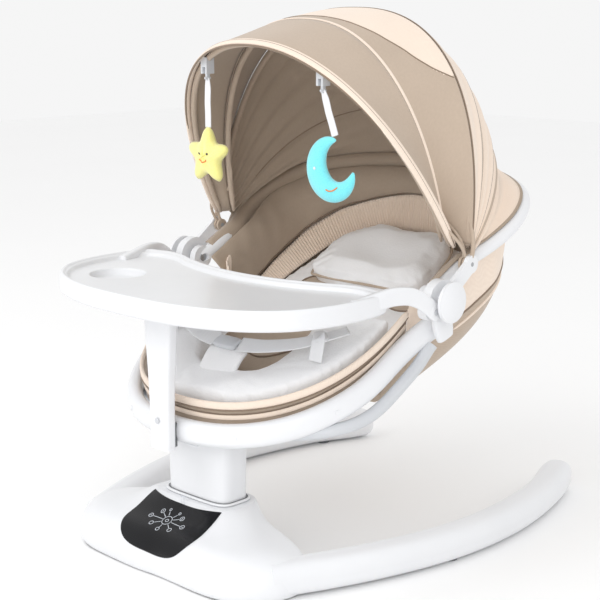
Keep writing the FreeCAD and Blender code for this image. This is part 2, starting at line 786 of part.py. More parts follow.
def tray_tail():
    """The arm that arches back from the tray's side to the hinge pin, thin beside the hinge."""
    route = [(223, -120, 366), (234, -84, 375), (245, -50, 372), (251.8, -27, 358), (252.1, -12, 345)]
    path = smooth_points(route, 9)
    widths = [6, 6, 6, 5.5, 4.6, 3.4, 2.6, 2.0, 1.9]
    last = len(path) - 1
    wires = []
    for i, (centre, width) in enumerate(zip(path, widths)):
        along = (path[min(i + 1, last)] - path[max(i - 1, 0)]).normalize()
        wires.append(section(centre, along, Z_AXIS, width, 12, 3.0))
    arm = positive(Part.makeLoft(wires, True, False))
    eye = cylinder_x(11.5, 249.8, TRAY_EYE_X, TRAY_PIN_Y, TRAY_PIN_Z)
    housing_side = box((200, -200, 300), (249.6, 60, 420))
    disc = housing_side.common(cylinder_x(HINGE_R + 1, 200, 300, HINGE_Y, HINGE_Z))
    boss = housing_side.common(cylinder_x(13, 200, 300, TRAY_PIN_Y, TRAY_PIN_Z))
    neck = cylinder_x(14, 240, 270, HINGE_Y, HINGE_Z)
    hole = cylinder_x(4 + RUNNING_FIT, 200, 300, TRAY_PIN_Y, TRAY_PIN_Z)
    tail = arm.fuse(eye).cut(disc).cut(boss).cut(neck).cut(hole)
    return max(tail.Solids, key=lambda s: s.Volume)


def tray():
    """The crescent tray with a raised rim, a cup recess and an arm to each hinge."""
    plate = tray_prism(TRAY_OUTER, TRAY_INNER, TRAY_BOTTOM, TRAY_TOP)
    outer_dish = [(0, -310), (84, -304), (158, -279), (204, -238), (224, -188), (227, -132), (220, -98)]
    inner_dish = [(206, -90), (188, -86), (162, -89), (124, -105), (66, -121), (0, -127)]
    dish = tray_prism(outer_dish, inner_dish, TRAY_TOP - 9, TRAY_TOP + 5)
    cup = Part.makeCylinder(CUP_R, 20, V(CUP_CENTRE[0], CUP_CENTRE[1], TRAY_TOP - 20))
    body = plate.cut(dish).cut(cup)
    tail = tray_tail()
    return body.fuse([tail, mirrored(tail)])


def tray_post():
    """The leg under the tray's front that stands against the ring."""
    places = [(TRAY_BOTTOM - 0.2, 25, 9.5), (TRAY_BOTTOM - 60, 22.5, 9), (250, 19.5, 8.5),
              (205, 18.5, 8), (POST_BOTTOM, 18, 8)]
    wires = [section(V(0, POST_Y, z), Z_AXIS, Y_AXIS, hw, hd, 5, 24) for z, hw, hd in places]
    return positive(Part.makeLoft(wires, True, False)).cut(ring_clearance())


def post_pad():
    """The grip pad at the post's foot that meets the ring."""
    pad = box((-13, POST_Y + 6, POST_BOTTOM + 2), (13, POST_Y + 13.5, POST_BOTTOM + 34))
    return pad.cut(tray_post()).cut(ring_clearance()).Solids[0]


def ring_screws():
    """Screw heads on the ring's outer side."""
    heads = []
    path = ring_path()
    for index in (16, 20):
        place = path[index]
        way = V(place.x, place.y + 60, 0).normalize()
        head = Part.makeCylinder(3.2, 3, place + way * (RING_SECTION[0] - 2), way)
        head = head.cut(seat_ring())
        heads += [head, mirrored(head)]
    return Part.makeCompound(heads)


NODES = {
    "base_housing": base_housing, "base_cover": base_cover, "leg_left": leg_left,
    "leg_right": lambda: mirrored(leg_left()), "feet": feet, "cover_screws": cover_screws,
    "touch_panel": touch_panel, "control_board": control_board, "speaker": speaker,
    "power_inlet": power_inlet, "coil_stand": coil_stand, "column": column,
    "bearing_carrier": bearing_carrier,
    "lower_bush": lambda: bush(-57), "upper_bush": lambda: bush(-12), "drive_coil": drive_coil,
    "swing_shaft": swing_shaft, "magnet_lever": magnet_lever, "drive_magnet": drive_magnet,
    "swing_head": swing_head, "seat_ring": seat_ring, "ring_screws": ring_screws,
    "cradle_tube_left": cradle_tube_left, "cradle_tube_right": lambda: mirrored(cradle_tube_left()),
    "hinge_housing_left": hinge_housing_left,
    "hinge_housing_right": lambda: mirrored(hinge_housing_left()),
    "hinge_pins": lambda: both(hinge_pin_left()), "tray_pins": lambda: both(tray_pin_left()),
    "canopy_pins": lambda: both(canopy_pin_left()),
    "button_springs": lambda: both(button_spring_left()),
    "recline_button_left": recline_button_left,
    "recline_button_right": lambda: mirrored(recline_button_left()),
    "seat_sling": seat_sling, "seat_pad": seat_pad, "crotch_strap": crotch_strap, "buckle": buckle,
    "waist_strap_left": waist_strap_left,
    "waist_strap_right": lambda: mirrored(waist_strap_left()),
    "backrest_tube": backrest_tube, "backrest_pod": backrest_pod, "back_pad": back_pad,
    "head_pillow": head_pillow, "rim_lining": rim_lining, "ribbed_band": ribbed_band,
    "rear_bow": rear_bow, "mid_bow": lambda: moving_bow(MID_BOW, MID_EYE_X),
    "front_bow": lambda: moving_bow(FRONT_BOW, FRONT_EYE_X),
    "canopy_front_panel": canopy_front_panel, "canopy_top_panel": canopy_top_panel,
    "canopy_back_drape": canopy_back_drape,
    "toy_clips": lambda: Part.makeCompound([toy_clip(STAR_HOOK), toy_clip(MOON_HOOK)]),
    "star_hanger": lambda: toy_hanger(STAR_HOOK), "moon_hanger": lambda: toy_hanger(MOON_HOOK),
    "star_ribbon": lambda: toy_ribbon(STAR_HOOK), "moon_ribbon": lambda: toy_ribbon(MOON_HOOK),
    "star_toy": star_toy, "moon_toy": moon_toy,
    "tray": tray, "tray_post": tray_post, "post_pad": post_pad,
}

os.makedirs("parts", exist_ok=True)
for name, make in NODES.items():
    shape = make()
    shape.translate(V(0, -ORIGIN_Y, 0))
    shape.exportStep(f"parts/{name}.step")
    size = shape.optimalBoundingBox()
    print(f"{name:22s} solids {len(shape.Solids)} valid {shape.isValid()} volume {shape.Volume:10.0f}"
          f"  x {size.XMin:.0f}..{size.XMax:.0f} y {size.YMin:.0f}..{size.YMax:.0f}"
          f" z {size.ZMin:.0f}..{size.ZMax:.0f}")
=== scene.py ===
"""The look of the baby swing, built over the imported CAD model."""
import math
import bpy
import numpy as np
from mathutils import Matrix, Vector
from mathutils.bvhtree import BVHTree
from mathutils.geometry import delaunay_2d_cdt


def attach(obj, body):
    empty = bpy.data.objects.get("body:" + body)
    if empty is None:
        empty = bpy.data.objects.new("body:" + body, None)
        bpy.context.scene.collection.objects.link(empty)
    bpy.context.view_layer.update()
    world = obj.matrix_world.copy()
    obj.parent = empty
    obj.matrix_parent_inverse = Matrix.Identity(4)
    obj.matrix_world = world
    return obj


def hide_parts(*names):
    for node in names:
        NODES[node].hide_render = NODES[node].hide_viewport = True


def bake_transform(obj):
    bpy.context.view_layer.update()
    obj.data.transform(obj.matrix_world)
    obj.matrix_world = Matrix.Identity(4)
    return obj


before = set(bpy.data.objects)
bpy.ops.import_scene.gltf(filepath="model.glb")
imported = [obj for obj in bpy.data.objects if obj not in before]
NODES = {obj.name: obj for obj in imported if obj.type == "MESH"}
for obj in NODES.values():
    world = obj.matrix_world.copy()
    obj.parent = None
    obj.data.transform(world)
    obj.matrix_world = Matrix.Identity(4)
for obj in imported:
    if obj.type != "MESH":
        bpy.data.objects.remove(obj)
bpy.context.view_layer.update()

# Shapes are drawn in millimetres from the CAD drawing's datum and moved into the frame by metres().
ORIGIN_Y = 27.5
HINGE = np.array([0.0, 12.0, 357.0])
RECLINE = math.radians(28)
CANOPY = np.array([0.0, 68.0, 398.0])
FRONT_BOW = (60.5, 229.0, 333.0, 2.2)
MID_BOW = (78.5, 208.0, 321.0, 2.35)
REAR_BOW = (97.5, 244.0, 331.0, 2.45)
DRAPE_END = (146.0, 234.0, 240.0, 2.3)


# ------------------------------------------------------------------ drawing helpers
def metres(points):
    """Places in the drawing, in the frame's metres."""
    return (np.array(points, float) - np.array([0.0, ORIGIN_Y, 0.0])) / 1000.0


def unit(v):
    """The same directions with length 1."""
    return v / np.linalg.norm(v, axis=-1, keepdims=True)


def smooth(points, per=8, closed=False):
    """A smooth line through the points."""
    pts = np.array(points, float)
    n = len(pts)
    out = []
    for i in range(n if closed else n - 1):
        p1, p2 = pts[i], pts[(i + 1) % n]
        p0 = pts[i - 1] if closed or i > 0 else 2 * p1 - p2
        p3 = pts[(i + 2) % n] if closed or i < n - 2 else 2 * p2 - p1
        for t in np.arange(per) / per:
            out.append(0.5 * (2 * p1 + (p2 - p0) * t + (2 * p0 - 5 * p1 + 4 * p2 - p3) * t * t
                              + (3 * p1 - p0 - 3 * p2 + p3) * t ** 3))
    if not closed:
        out.append(pts[-1])
    return np.array(out)


def even(points, count):
    """The same line with its points evenly spaced."""
    pts = np.array(points, float)
    steps = np.linalg.norm(np.diff(pts, axis=0), axis=1)
    along = np.concatenate([[0.0], np.cumsum(steps)])
    places = np.linspace(0.0, along[-1], count)
    return np.stack([np.interp(places, along, pts[:, k]) for k in range(pts.shape[1])], 1)


def power_pair(angle, power):
    """Cosine and sine on a squared-off circle; a power of 2 gives a round one."""
    c, s = np.cos(angle), np.sin(angle)
    return np.sign(c) * np.abs(c) ** (2 / power), np.sign(s) * np.abs(s) ** (2 / power)


def piece(name, verts, faces, materials, picks=None, uvs=None):
    """A mesh object in millimetres with its materials."""
    mesh = bpy.data.meshes.new(name)
    mesh.from_pydata(metres(verts).tolist(), [], [tuple(int(i) for i in f) for f in faces])
    if uvs is not None:
        layer = mesh.uv_layers.new(name="cloth")
        corners = np.zeros(len(mesh.loops), int)
        mesh.loops.foreach_get("vertex_index", corners)
        layer.data.foreach_set("uv", np.array(uvs, float)[corners].ravel())
    for material in materials if isinstance(materials, list) else [materials]:
        mesh.materials.append(material)
    if picks is not None:
        mesh.polygons.foreach_set("material_index", np.array(picks, np.int32))
    mesh.shade_smooth()
    obj = bpy.data.objects.new(name, mesh)
    bpy.context.scene.collection.objects.link(obj)
    return obj


def settle(obj):
    """Applies the piece's modifiers, so that its mesh is final."""
    graph = bpy.context.evaluated_depsgraph_get()
    mesh = bpy.data.meshes.new_from_object(obj.evaluated_get(graph))
    obj.modifiers.clear()
    obj.data = mesh
    return obj


def grid_faces(rows, columns, closed=False, flip=False):
    """Faces between neighbouring rows of points."""
    faces = []
    for i in range(rows - 1):
        for j in range(columns if closed else columns - 1):
            k = (j + 1) % columns
            quad = [i * columns + j, i * columns + k, (i + 1) * columns + k, (i + 1) * columns + j]
            faces.append(quad[::-1] if flip else quad)
    return faces


def cloth(name, rows, materials, pick=None, thickness=1.6, flip=False, inner=0):
    """A sheet over a grid of places. Its hidden side takes the material `inner` slots on."""
    rows = np.array(rows, float)
    m, n = rows.shape[:2]
    u = np.concatenate([np.zeros((m, 1)), np.cumsum(np.linalg.norm(np.diff(rows, axis=1), axis=2), 1)], 1)
    v = np.concatenate([np.zeros((1, n)), np.cumsum(np.linalg.norm(np.diff(rows, axis=0), axis=2), 0)], 0)
    u -= u[:, n // 2:n // 2 + 1]
    uvs = np.stack([u, v], 2).reshape(-1, 2) / 1000.0
    picks = None
    if pick is not None:
        picks = [pick(i / (m - 1), j / (n - 1)) for i in range(m - 1) for j in range(n - 1)]
    obj = piece(name, rows.reshape(-1, 3), grid_faces(m, n, flip=flip), materials, picks, uvs)
    shell = obj.modifiers.new("shell", "SOLIDIFY")
    shell.thickness = thickness / 1000.0
    shell.offset = 0.0
    shell.material_offset = inner
    shell.material_offset_rim = inner
    return settle(obj)


def swept(name, path, half_width, half_height, up, material, power=2.0, ring=12, scales=None,
          closed=False):
    """A bar of oval or squarish section along a line, with its height towards up."""
    path = np.array(path, float)
    if closed:
        tangent = unit(np.roll(path, -1, 0) - np.roll(path, 1, 0))
    else:
        tangent = unit(np.gradient(path, axis=0))
    up = np.broadcast_to(np.array(up, float), path.shape)
    side = unit(np.cross(tangent, up))
    top = np.cross(side, tangent)
    k = np.ones((len(path), 2)) if scales is None else np.array(scales, float)
    if k.ndim == 1:
        k = np.stack([k, k], 1)
    c, s = power_pair(2 * math.pi * np.arange(ring) / ring, power)
    verts = (path[:, None] + side[:, None] * (half_width * k[:, :1] * c[None])[..., None]
             + top[:, None] * (half_height * k[:, 1:] * s[None])[..., None])
    faces = grid_faces(len(path), ring, closed=True, flip=True)
    last = (len(path) - 1) * ring
    if closed:
        faces += [[last + j, j, (j + 1) % ring, last + (j + 1) % ring] for j in range(ring)]
    else:
        faces += [list(range(ring)), list(range(last + ring - 1, last - 1, -1))]
    return piece(name, verts.reshape(-1, 3), faces, material)


def rounded_ends(count, places=3):
    """Section scales that close a bar's two ends softly."""
    k = np.ones(count)
    for i in range(places):
        value = math.sqrt(1 - (1 - (i + 0.35) / places) ** 2)
        k[i] = value
        k[-1 - i] = value
    return k


def lathe(name, profile, centre, axis, material, turns=40):
    """A turned part: (distance along the axis, radius) pairs, first and last at the axis."""
    axis = unit(np.array(axis, float))
    other = np.array([0.0, 0.0, 1.0]) if abs(axis[2]) < 0.9 else np.array([1.0, 0.0, 0.0])
    a = unit(np.cross(axis, other))
    b = np.cross(axis, a)
    angles = 2 * math.pi * np.arange(turns) / turns
    around = np.cos(angles)[:, None] * a + np.sin(angles)[:, None] * b
    verts = [np.array(centre) + axis * d + around * max(r, 0.02) for d, r in profile]
    faces = grid_faces(len(profile), turns, closed=True)
    last = (len(profile) - 1) * turns
    faces += [list(range(turns - 1, -1, -1)), list(range(last, last + turns))]
    return piece(name, np.array(verts).reshape(-1, 3), faces, material)


def from_node(name, node, voxel, material):
    """A new even mesh with a CAD node's form."""
    source = NODES[node].data
    obj = bpy.data.objects.new(name, source.copy())
    bpy.context.scene.collection.objects.link(obj)
    obj.data.materials.clear()
    for m in material if isinstance(material, list) else [material]:
        obj.data.materials.append(m)
    even_mesh = obj.modifiers.new("even", "REMESH")
    even_mesh.mode = "VOXEL"
    even_mesh.voxel_size = voxel / 1000.0
    even_mesh.use_smooth_shade = True
    return settle(obj)


def coords(obj):
    """The piece's vertices in drawing millimetres."""
    out = np.zeros(len(obj.data.vertices) * 3)
    obj.data.vertices.foreach_get("co", out)
    return out.reshape(-1, 3) * 1000.0 + np.array([0.0, ORIGIN_Y, 0.0])


def set_coords(obj, points):
    """Moves a mesh's points to places in the drawing."""
    obj.data.vertices.foreach_set("co", metres(points).ravel())
    obj.data.update()


def normals(obj):
    """The direction out of the surface at each point."""
    out = np.zeros(len(obj.data.vertices) * 3)
    obj.data.vertex_normals.foreach_get("vector", out)
    return out.reshape(-1, 3)


def relax(obj, rounds, factor=0.5):
    """Smooths a mesh."""
    even_out = obj.modifiers.new("relax", "SMOOTH")
    even_out.factor = factor
    even_out.iterations = rounds
    return settle(obj)


def puff(obj, cap, held, pressure=4.0):
    """Swells a pad by air pressure. held(points) marks the places its seams keep still."""
    before = coords(obj)
    fixed = held(before)
    group = obj.vertex_groups.new(name="seams")
    for weight in (1.0, 0.5):
        chosen = np.nonzero((fixed >= weight - 0.25) & (fixed < weight + 0.25))[0]
        group.add([int(i) for i in chosen], weight, "REPLACE")
    sim = obj.modifiers.new("puff", "CLOTH")
    sim.settings.use_pressure = True
    sim.settings.uniform_pressure_force = pressure
    sim.settings.effector_weights.gravity = 0.0
    sim.settings.vertex_group_mass = "seams"
    sim.settings.mass = 0.3
    sim.settings.tension_stiffness = 15.0
    sim.settings.compression_stiffness = 15.0
    sim.settings.bending_stiffness = 0.6
    scene = bpy.context.scene
    for number in range(1, 21):
        scene.frame_set(number)
    settle(obj)
    scene.frame_set(1)
    grown = coords(obj)
    move = grown - before
    length = np.linalg.norm(move, axis=1, keepdims=True)
    move *= np.minimum(1.0, cap / np.maximum(length, 1e-6))
    set_coords(obj, before + move)
    relax(obj, 2, 0.4)
    finer = obj.modifiers.new("finer", "SUBSURF")
    finer.levels = 1
    finer.render_levels = 1
    return settle(obj)


def paint(obj, choose):
    """Gives each face the material slot that choose() picks from its centre."""
    centres = np.zeros(len(obj.data.polygons) * 3)
    obj.data.polygons.foreach_get("center", centres)
    centres = centres.reshape(-1, 3) * 1000.0 + np.array([0.0, ORIGIN_Y, 0.0])
    obj.data.polygons.foreach_set("material_index", choose(centres).astype(np.int32))


def surface_of(obj):
    """A tree of the object's surface, for project()."""
    graph = bpy.context.evaluated_depsgraph_get()
    return BVHTree.FromObject(obj, graph)


def project(tree, points, direction, lift=0.0):
    """Drops points onto a surface along a direction and lifts them off it a little."""
    out = []
    way = Vector(direction).normalized()
    for p in metres(points):
        start = Vector(p) - way * 0.15
        hit = tree.ray_cast(start, way, 0.4)
        place = hit[0] if hit[0] is not None else Vector(p)
        place = place - way * (lift / 1000.0)
        out.append(np.array(place) * 1000.0 + np.array([0.0, ORIGIN_Y, 0.0]))
    return np.array(out)


def rides(obj, body, slot, *replaced):
    """Puts a piece on a body, in place of CAD nodes. The slot argument is not used."""
    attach(obj, body)
    if replaced:
        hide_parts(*replaced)
    return obj


def turn_blend(obj, first, second, axis_point, start_angle, end_angle, slot, *replaced):
    """Bakes the piece in place, works out its points' angles round an axis across the swing and hides the
    CAD nodes it replaces; the angles go no further and the piece is put on no body. first, second and slot
    are not used.
    """
    middle = math.radians(0.5 * (start_angle + end_angle))
    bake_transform(obj)
    p = coords(obj)
    y, z = p[:, 1] - axis_point[1], p[:, 2] - axis_point[2]
    angle = np.degrees(np.arctan2(z, -y))
    angle = np.where(angle < math.degrees(middle) - 180, angle + 360, angle)
    if replaced:
        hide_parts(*replaced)
    return obj


# ------------------------------------------------------------------ materials
def srgb(*levels):
    """A colour from 0-255 levels."""
    shares = [v / 255 for v in levels]
    return tuple(v / 12.92 if v < 0.043 else ((v + 0.055) / 1.055) ** 2.4 for v in shares) + (1.0,)


class Stuff:
    """A node material while it is being put together."""

    def __init__(self, name, roughness=0.5, **sockets):
        self.material = bpy.data.materials.new(name)
        self.material.use_nodes = True
        self.tree = self.material.node_tree
        self.shader = self.tree.nodes["Principled BSDF"]
        self.shader.inputs["Roughness"].default_value = roughness
        for key, value in sockets.items():
            self.shader.inputs[key.replace("_", " ")].default_value = value

    def node(self, kind, inputs=(), **settings):
        made = self.tree.nodes.new("ShaderNode" + kind)
        for key, value in settings.items():
            setattr(made, key, value)
        for key, value in dict(inputs).items():
            if isinstance(value, bpy.types.NodeSocket):
                self.tree.links.new(value, made.inputs[key])
            else:
                made.inputs[key].default_value = value
        return made

    def place(self, source):
        return self.node("TexCoord").outputs[source]

    def noise(self, where, scale, detail=2.0):
        return self.node("TexNoise", {"Vector": where, "Scale": scale, "Detail": detail}).outputs["Fac"]

    def waves(self, where, direction, pitch, distortion=0.0):
        made = self.node("TexWave", {"Vector": where, "Scale": 0.314 / pitch, "Distortion": distortion},
                         bands_direction=direction)
        return made.outputs["Fac"]

    def blend_colours(self, share, low, high):
        made = self.node("MixRGB", {"Fac": share, "Color1": low, "Color2": high})
        return made.outputs["Color"]

    def math(self, kind, a, b):
        return self.node("Math", {0: a, 1: b}, operation=kind).outputs[0]

    def between(self, value, low, high):
        return self.node("MapRange", {"Value": value, "To Min": low, "To Max": high}).outputs["Result"]

    def colour(self, socket):
        self.tree.links.new(socket, self.shader.inputs["Base Color"])

    def rough(self, socket):
        self.tree.links.new(socket, self.shader.inputs["Roughness"])

    def bumps(self, *layers):
        """Stacks (height, distance, strength) bumps."""
        normal = None
        for height, distance, strength in layers:
            inputs = {"Height": height, "Distance": distance, "Strength": strength}
            if normal is not None:
                inputs["Normal"] = normal
            normal = self.node("Bump", inputs).outputs["Normal"]
        self.tree.links.new(normal, self.shader.inputs["Normal"])


def plastic(name, low, high, roughness=0.32, coat=0.25, grain=0.00006, specular=0.5):
    """Moulded plastic with faint clouding and a fine grain."""
    m = Stuff(name, Coat_Weight=coat, Coat_Roughness=0.18, Specular_IOR_Level=specular)
    where = m.place("Object")
    cloud = m.noise(where, 7.0, 3.0)
    m.colour(m.blend_colours(cloud, low, high))
    m.rough(m.between(m.noise(where, 60.0, 3.0), roughness - 0.06, roughness + 0.08))
    m.bumps((m.noise(where, 1400.0), grain, 0.35), (m.noise(where, 22.0), 0.0006, 0.06))
    return m.material


def woven(name, low, high, source="UV", pitch=0.0013, sheen=0.25, wrinkle=0.35):
    """A plain weave with threads both ways."""
    m = Stuff(name, Sheen_Weight=sheen, Sheen_Roughness=0.5)
    where = m.place(source)
    threads = m.math("MULTIPLY", m.waves(where, "X", pitch, 0.4),
                     m.waves(where, "Y" if source == "UV" else "Z", pitch, 0.4))
    slub = m.noise(where, 260.0, 3.0)
    cloud = m.noise(m.place("Object"), 9.0, 3.0)
    share = m.math("ADD", m.math("MULTIPLY", threads, 0.35), m.math("MULTIPLY", slub, 0.35))
    share = m.math("ADD", share, m.math("MULTIPLY", cloud, 0.5))
    m.colour(m.blend_colours(share, low, high))
    m.rough(m.between(slub, 0.78, 0.95))
    m.bumps((m.noise(m.place("Object"), 14.0, 3.0), 0.004, wrinkle), (threads, 0.00025, 0.4))
    return m.material


def plush(name, low, high, curl=0.0022, sheen=0.5):
    """Short soft pile."""
    m = Stuff(name, Sheen_Weight=sheen, Sheen_Roughness=0.6)
    where = m.place("Object")
    tufts = m.node("TexVoronoi", {"Vector": where, "Scale": 1.0 / curl}).outputs["Distance"]
    fibres = m.noise(where, 900.0, 4.0)
    pile = m.math("ADD", m.math("MULTIPLY", tufts, 0.6), m.math("MULTIPLY", fibres, 0.4))
    m.colour(m.blend_colours(m.math("ADD", m.math("MULTIPLY", pile, 0.5),
                                    m.math("MULTIPLY", m.noise(where, 12.0, 3.0), 0.6)), high, low))
    m.rough(m.between(fibres, 0.85, 1.0))
    m.bumps((m.noise(where, 28.0, 3.0), 0.004, 0.3), (pile, 0.0012, 0.35))
    return m.material


def webbing(name, low, high):
    """Flat woven band."""
    m = Stuff(name, Sheen_Weight=0.15)
    where = m.place("Object")
    ribs = m.math("MULTIPLY", m.waves(where, "DIAGONAL", 0.0016), m.waves(where, "Z", 0.0012))
    m.colour(m.blend_colours(m.math("ADD", m.math("MULTIPLY", ribs, 0.6),
                                    m.math("MULTIPLY", m.noise(where, 80.0), 0.4)), low, high))
    m.rough(m.between(ribs, 0.6, 0.8))
    m.bumps((ribs, 0.0003, 0.5))
    return m.material


def metal(name, low, high, roughness=0.3):
    """Plated metal."""
    m = Stuff(name, Metallic=1.0)
    where = m.place("Object")
    brushed = m.node("Mapping", {"Vector": where, "Scale": (40.0, 40.0, 900.0)}).outputs["Vector"]
    lines = m.noise(brushed, 3.0, 4.0)
    m.colour(m.blend_colours(lines, low, high))
    m.rough(m.between(lines, roughness - 0.08, roughness + 0.12))
    m.bumps((lines, 0.00005, 0.3))
    return m.material


def board(name):
    """A circuit board's green lacquer over tracks."""
    m = Stuff(name, Coat_Weight=0.5, Coat_Roughness=0.2)
    where = m.place("Object")
    cells = m.node("TexVoronoi", {"Vector": where, "Scale": 260.0}, feature="DISTANCE_TO_EDGE")
    tracks = m.math("LESS_THAN", cells.outputs["Distance"], 0.06)
    m.colour(m.blend_colours(tracks, srgb(22, 84, 48), srgb(190, 160, 80)))
    m.rough(m.between(m.noise(where, 300.0), 0.3, 0.5))
    m.bumps((tracks, 0.0001, 0.5))
    return m.material


def copper(name):
    """Wound enamelled wire."""
    m = Stuff(name, Metallic=1.0)
    where = m.place("Object")
    turns = m.waves(where, "Z", 0.0008)
    m.colour(m.blend_colours(turns, srgb(120, 56, 30), srgb(226, 132, 80)))
    m.rough(m.between(m.noise(where, 200.0), 0.25, 0.45))
    m.bumps((turns, 0.0004, 0.8))
    return m.material


WHITE = plastic("white_plastic", srgb(228, 229, 232), srgb(238, 239, 241))
COOL = plastic("grey_plastic", srgb(198, 201, 205), srgb(212, 214, 218), 0.38, 0.15)
RUBBER = plastic("rubber", srgb(96, 98, 100), srgb(122, 124, 126), 0.75, 0.0, 0.0002)
BUSH = plastic("bush_plastic", srgb(206, 198, 176), srgb(222, 214, 196), 0.5, 0.05)
GLOSS = plastic("panel_gloss", (0.004, 0.004, 0.005, 1.0), (0.009, 0.009, 0.011, 1.0), 0.16, 0.12,
                0.00001, 0.2)
STEEL = metal("steel", srgb(150, 152, 156), srgb(196, 198, 200))
BOARD = board("board_green")
COPPER = copper("coil_copper")
TAUPE = woven("taupe_weave", srgb(172, 154, 136), srgb(204, 186, 168))
TAUPE_SOFT = woven("taupe_weave_soft", srgb(172, 154, 136), srgb(204, 186, 168), "Object")
# A darker copy of the taupe weave for the cloth's inward faces and the rim lining: painted shade.
TAUPE_SHADED = woven("taupe_shaded_lining", srgb(158, 141, 124), srgb(188, 171, 153))
SEAM = woven("seam_thread", srgb(120, 102, 86), srgb(150, 131, 113), "Object", 0.0009)
PEACH = woven("peach_weave", srgb(232, 213, 196), srgb(250, 234, 218))
PEACH_SOFT = woven("peach_weave_soft", srgb(232, 213, 196), srgb(250, 234, 218), "Object")
FLEECE = plush("white_plush", srgb(244, 244, 246), srgb(254, 254, 254))
STRAP = webbing("white_webbing", srgb(228, 229, 232), srgb(246, 247, 248))
YELLOW = plush("yellow_plush", srgb(240, 232, 120), srgb(255, 250, 176), 0.0018)
TURQUOISE = plush("turquoise_plush", srgb(92, 214, 226), srgb(150, 244, 250), 0.0018)
INK = plastic("toy_ink", srgb(70, 60, 54), srgb(90, 80, 72), 0.6, 0.1)
ORANGE = plastic("toy_orange", srgb(226, 120, 50), srgb(240, 140, 70), 0.6, 0.1)
MARKS = plastic("panel_print", srgb(200, 206, 214), srgb(226, 230, 236), 0.5, 0.2)

CAD_LOOKS = {
    COOL: ["base_cover", "cradle_tube_left", "cradle_tube_right", "swing_head", "column", "toy_clips",
           "star_hanger", "moon_hanger", "power_inlet", "speaker", "coil_stand", "bearing_carrier"],
    RUBBER: ["feet", "post_pad"],
    STEEL: ["cover_screws", "swing_shaft", "magnet_lever", "drive_magnet", "hinge_pins",
            "tray_pins", "canopy_pins", "button_springs"],
    TAUPE_SOFT: ["rear_bow", "mid_bow", "front_bow"],
    BOARD: ["control_board"],
    COPPER: ["drive_coil"],
    BUSH: ["lower_bush", "upper_bush"],
    WHITE: ["base_housing", "leg_left", "leg_right", "seat_ring", "hinge_housing_left",
            "hinge_housing_right", "recline_button_left", "recline_button_right", "backrest_tube",
            "tray_post", "column", "ring_screws"],
}
for material, names in CAD_LOOKS.items():
    for name in names:
        mesh = NODES[name].data
        for place in range(max(1, len(mesh.materials))):
            if len(mesh.materials) == 0:
                mesh.materials.append(material)
            else:
                NODES[name].material_slots[place].material = material


# ------------------------------------------------------------------ places on the swing
def ring_z(y):
    """Height of the seat ring's middle line."""
    d = np.asarray(y) + 240.0
    return 187.0 + 0.25 * d + 0.0009 * d * d


def ring_line(margin, back_y, count=60):
    """The seat's plan, drawn in from the ring by a margin: from the right over the front to the left."""
    t = np.linspace(0.0, math.pi, count)
    c, s = power_pair(t, 2.3)
    x = -(204.0 - margin) * c
    y = -10.0 - (224.0 - margin) * s
    line = np.stack([x, y], 1)
    ends = np.array([[line[0, 0], back_y]]), np.array([[line[-1, 0], back_y]])
    return np.concatenate([ends[0], line, ends[1]])


def on_ring(line, lift):
    """A plan line lifted onto the ring's slope."""
    line = np.asarray(line, float)
    return np.stack([line[:, 0], line[:, 1], ring_z(line[:, 1]) + lift], 1)


def back_point(x, u, w):
    """A place on the backrest: u up its incline from the hinge, w square to it."""
    c, s = math.cos(RECLINE), math.sin(RECLINE)
    x, u, w = np.broadcast_arrays(np.asarray(x, float), u, w)
    return np.stack([x, HINGE[1] + u * c - w * s, HINGE[2] + u * s + w * c], -1)


def back_coords(points):
    """x, u and w of places on the backrest."""
    c, s = math.cos(RECLINE), math.sin(RECLINE)
    y, z = points[:, 1] - HINGE[1], points[:, 2] - HINGE[2]
    return points[:, 0], y * c + z * s, -y * s + z * c


BACK_UP = back_point(0, 0, 1) - back_point(0, 0, 0)
RIM = [(220, 0), (221, 78), (236, 125), (240, 185), (216, 238), (160, 272), (78, 292), (0, 298)]


def rim_line(margin, w, first=0, per=8):
    """The backrest tube's line, drawn in by a margin, from the left side over the head to the right."""
    half = RIM[first:] if isinstance(first, int) else RIM
    places = half + [(-x, u) for x, u in reversed(half[:-1])]
    flat = smooth(places, per)
    way = unit(np.gradient(flat, axis=0))
    inward = np.stack([-way[:, 1], way[:, 0]], 1)
    flat = flat + inward * margin
    return back_point(flat[:, 0], flat[:, 1], w)


def bow_row(bow, shrink=0.0, start_r=26.0, count=64, angle=None):
    """A row of points along a canopy bow's line, from eye to eye."""
    degrees, half_width, height, power = bow
    tilt = math.radians(degrees if angle is None else angle)
    half_width, height = half_width - shrink, height - shrink
    first = math.asin((start_r / height) ** (power / 2))
    t = np.linspace(first, math.pi - first, count + 1)
    c, s = power_pair(t, power)
    rise = height * s
    return np.stack([half_width * c, CANOPY[1] - rise * math.cos(tilt),
                     CANOPY[2] + rise * math.sin(tilt)], 1)


def between_bows(a, b, start_angle, end_angle, rows, dip=0.0, start_r=26.0, count=64):
    """Rows of cloth from one bow to the next, dipping between them."""
    out = []
    for i in range(rows + 1):
        k = i / rows
        shape = tuple(p + (q - p) * k for p, q in zip(a, b))
        angle = start_angle + (end_angle - start_angle) * k
        out.append(bow_row(shape, dip * math.sin(math.pi * k), start_r, count, angle))
    return np.array(out)


def outward(points):
    """Directions away from the canopy's axis line, for strips laid on it."""
    away = np.array(points) - CANOPY
    away[:, 0] *= 1.3
    return unit(away)


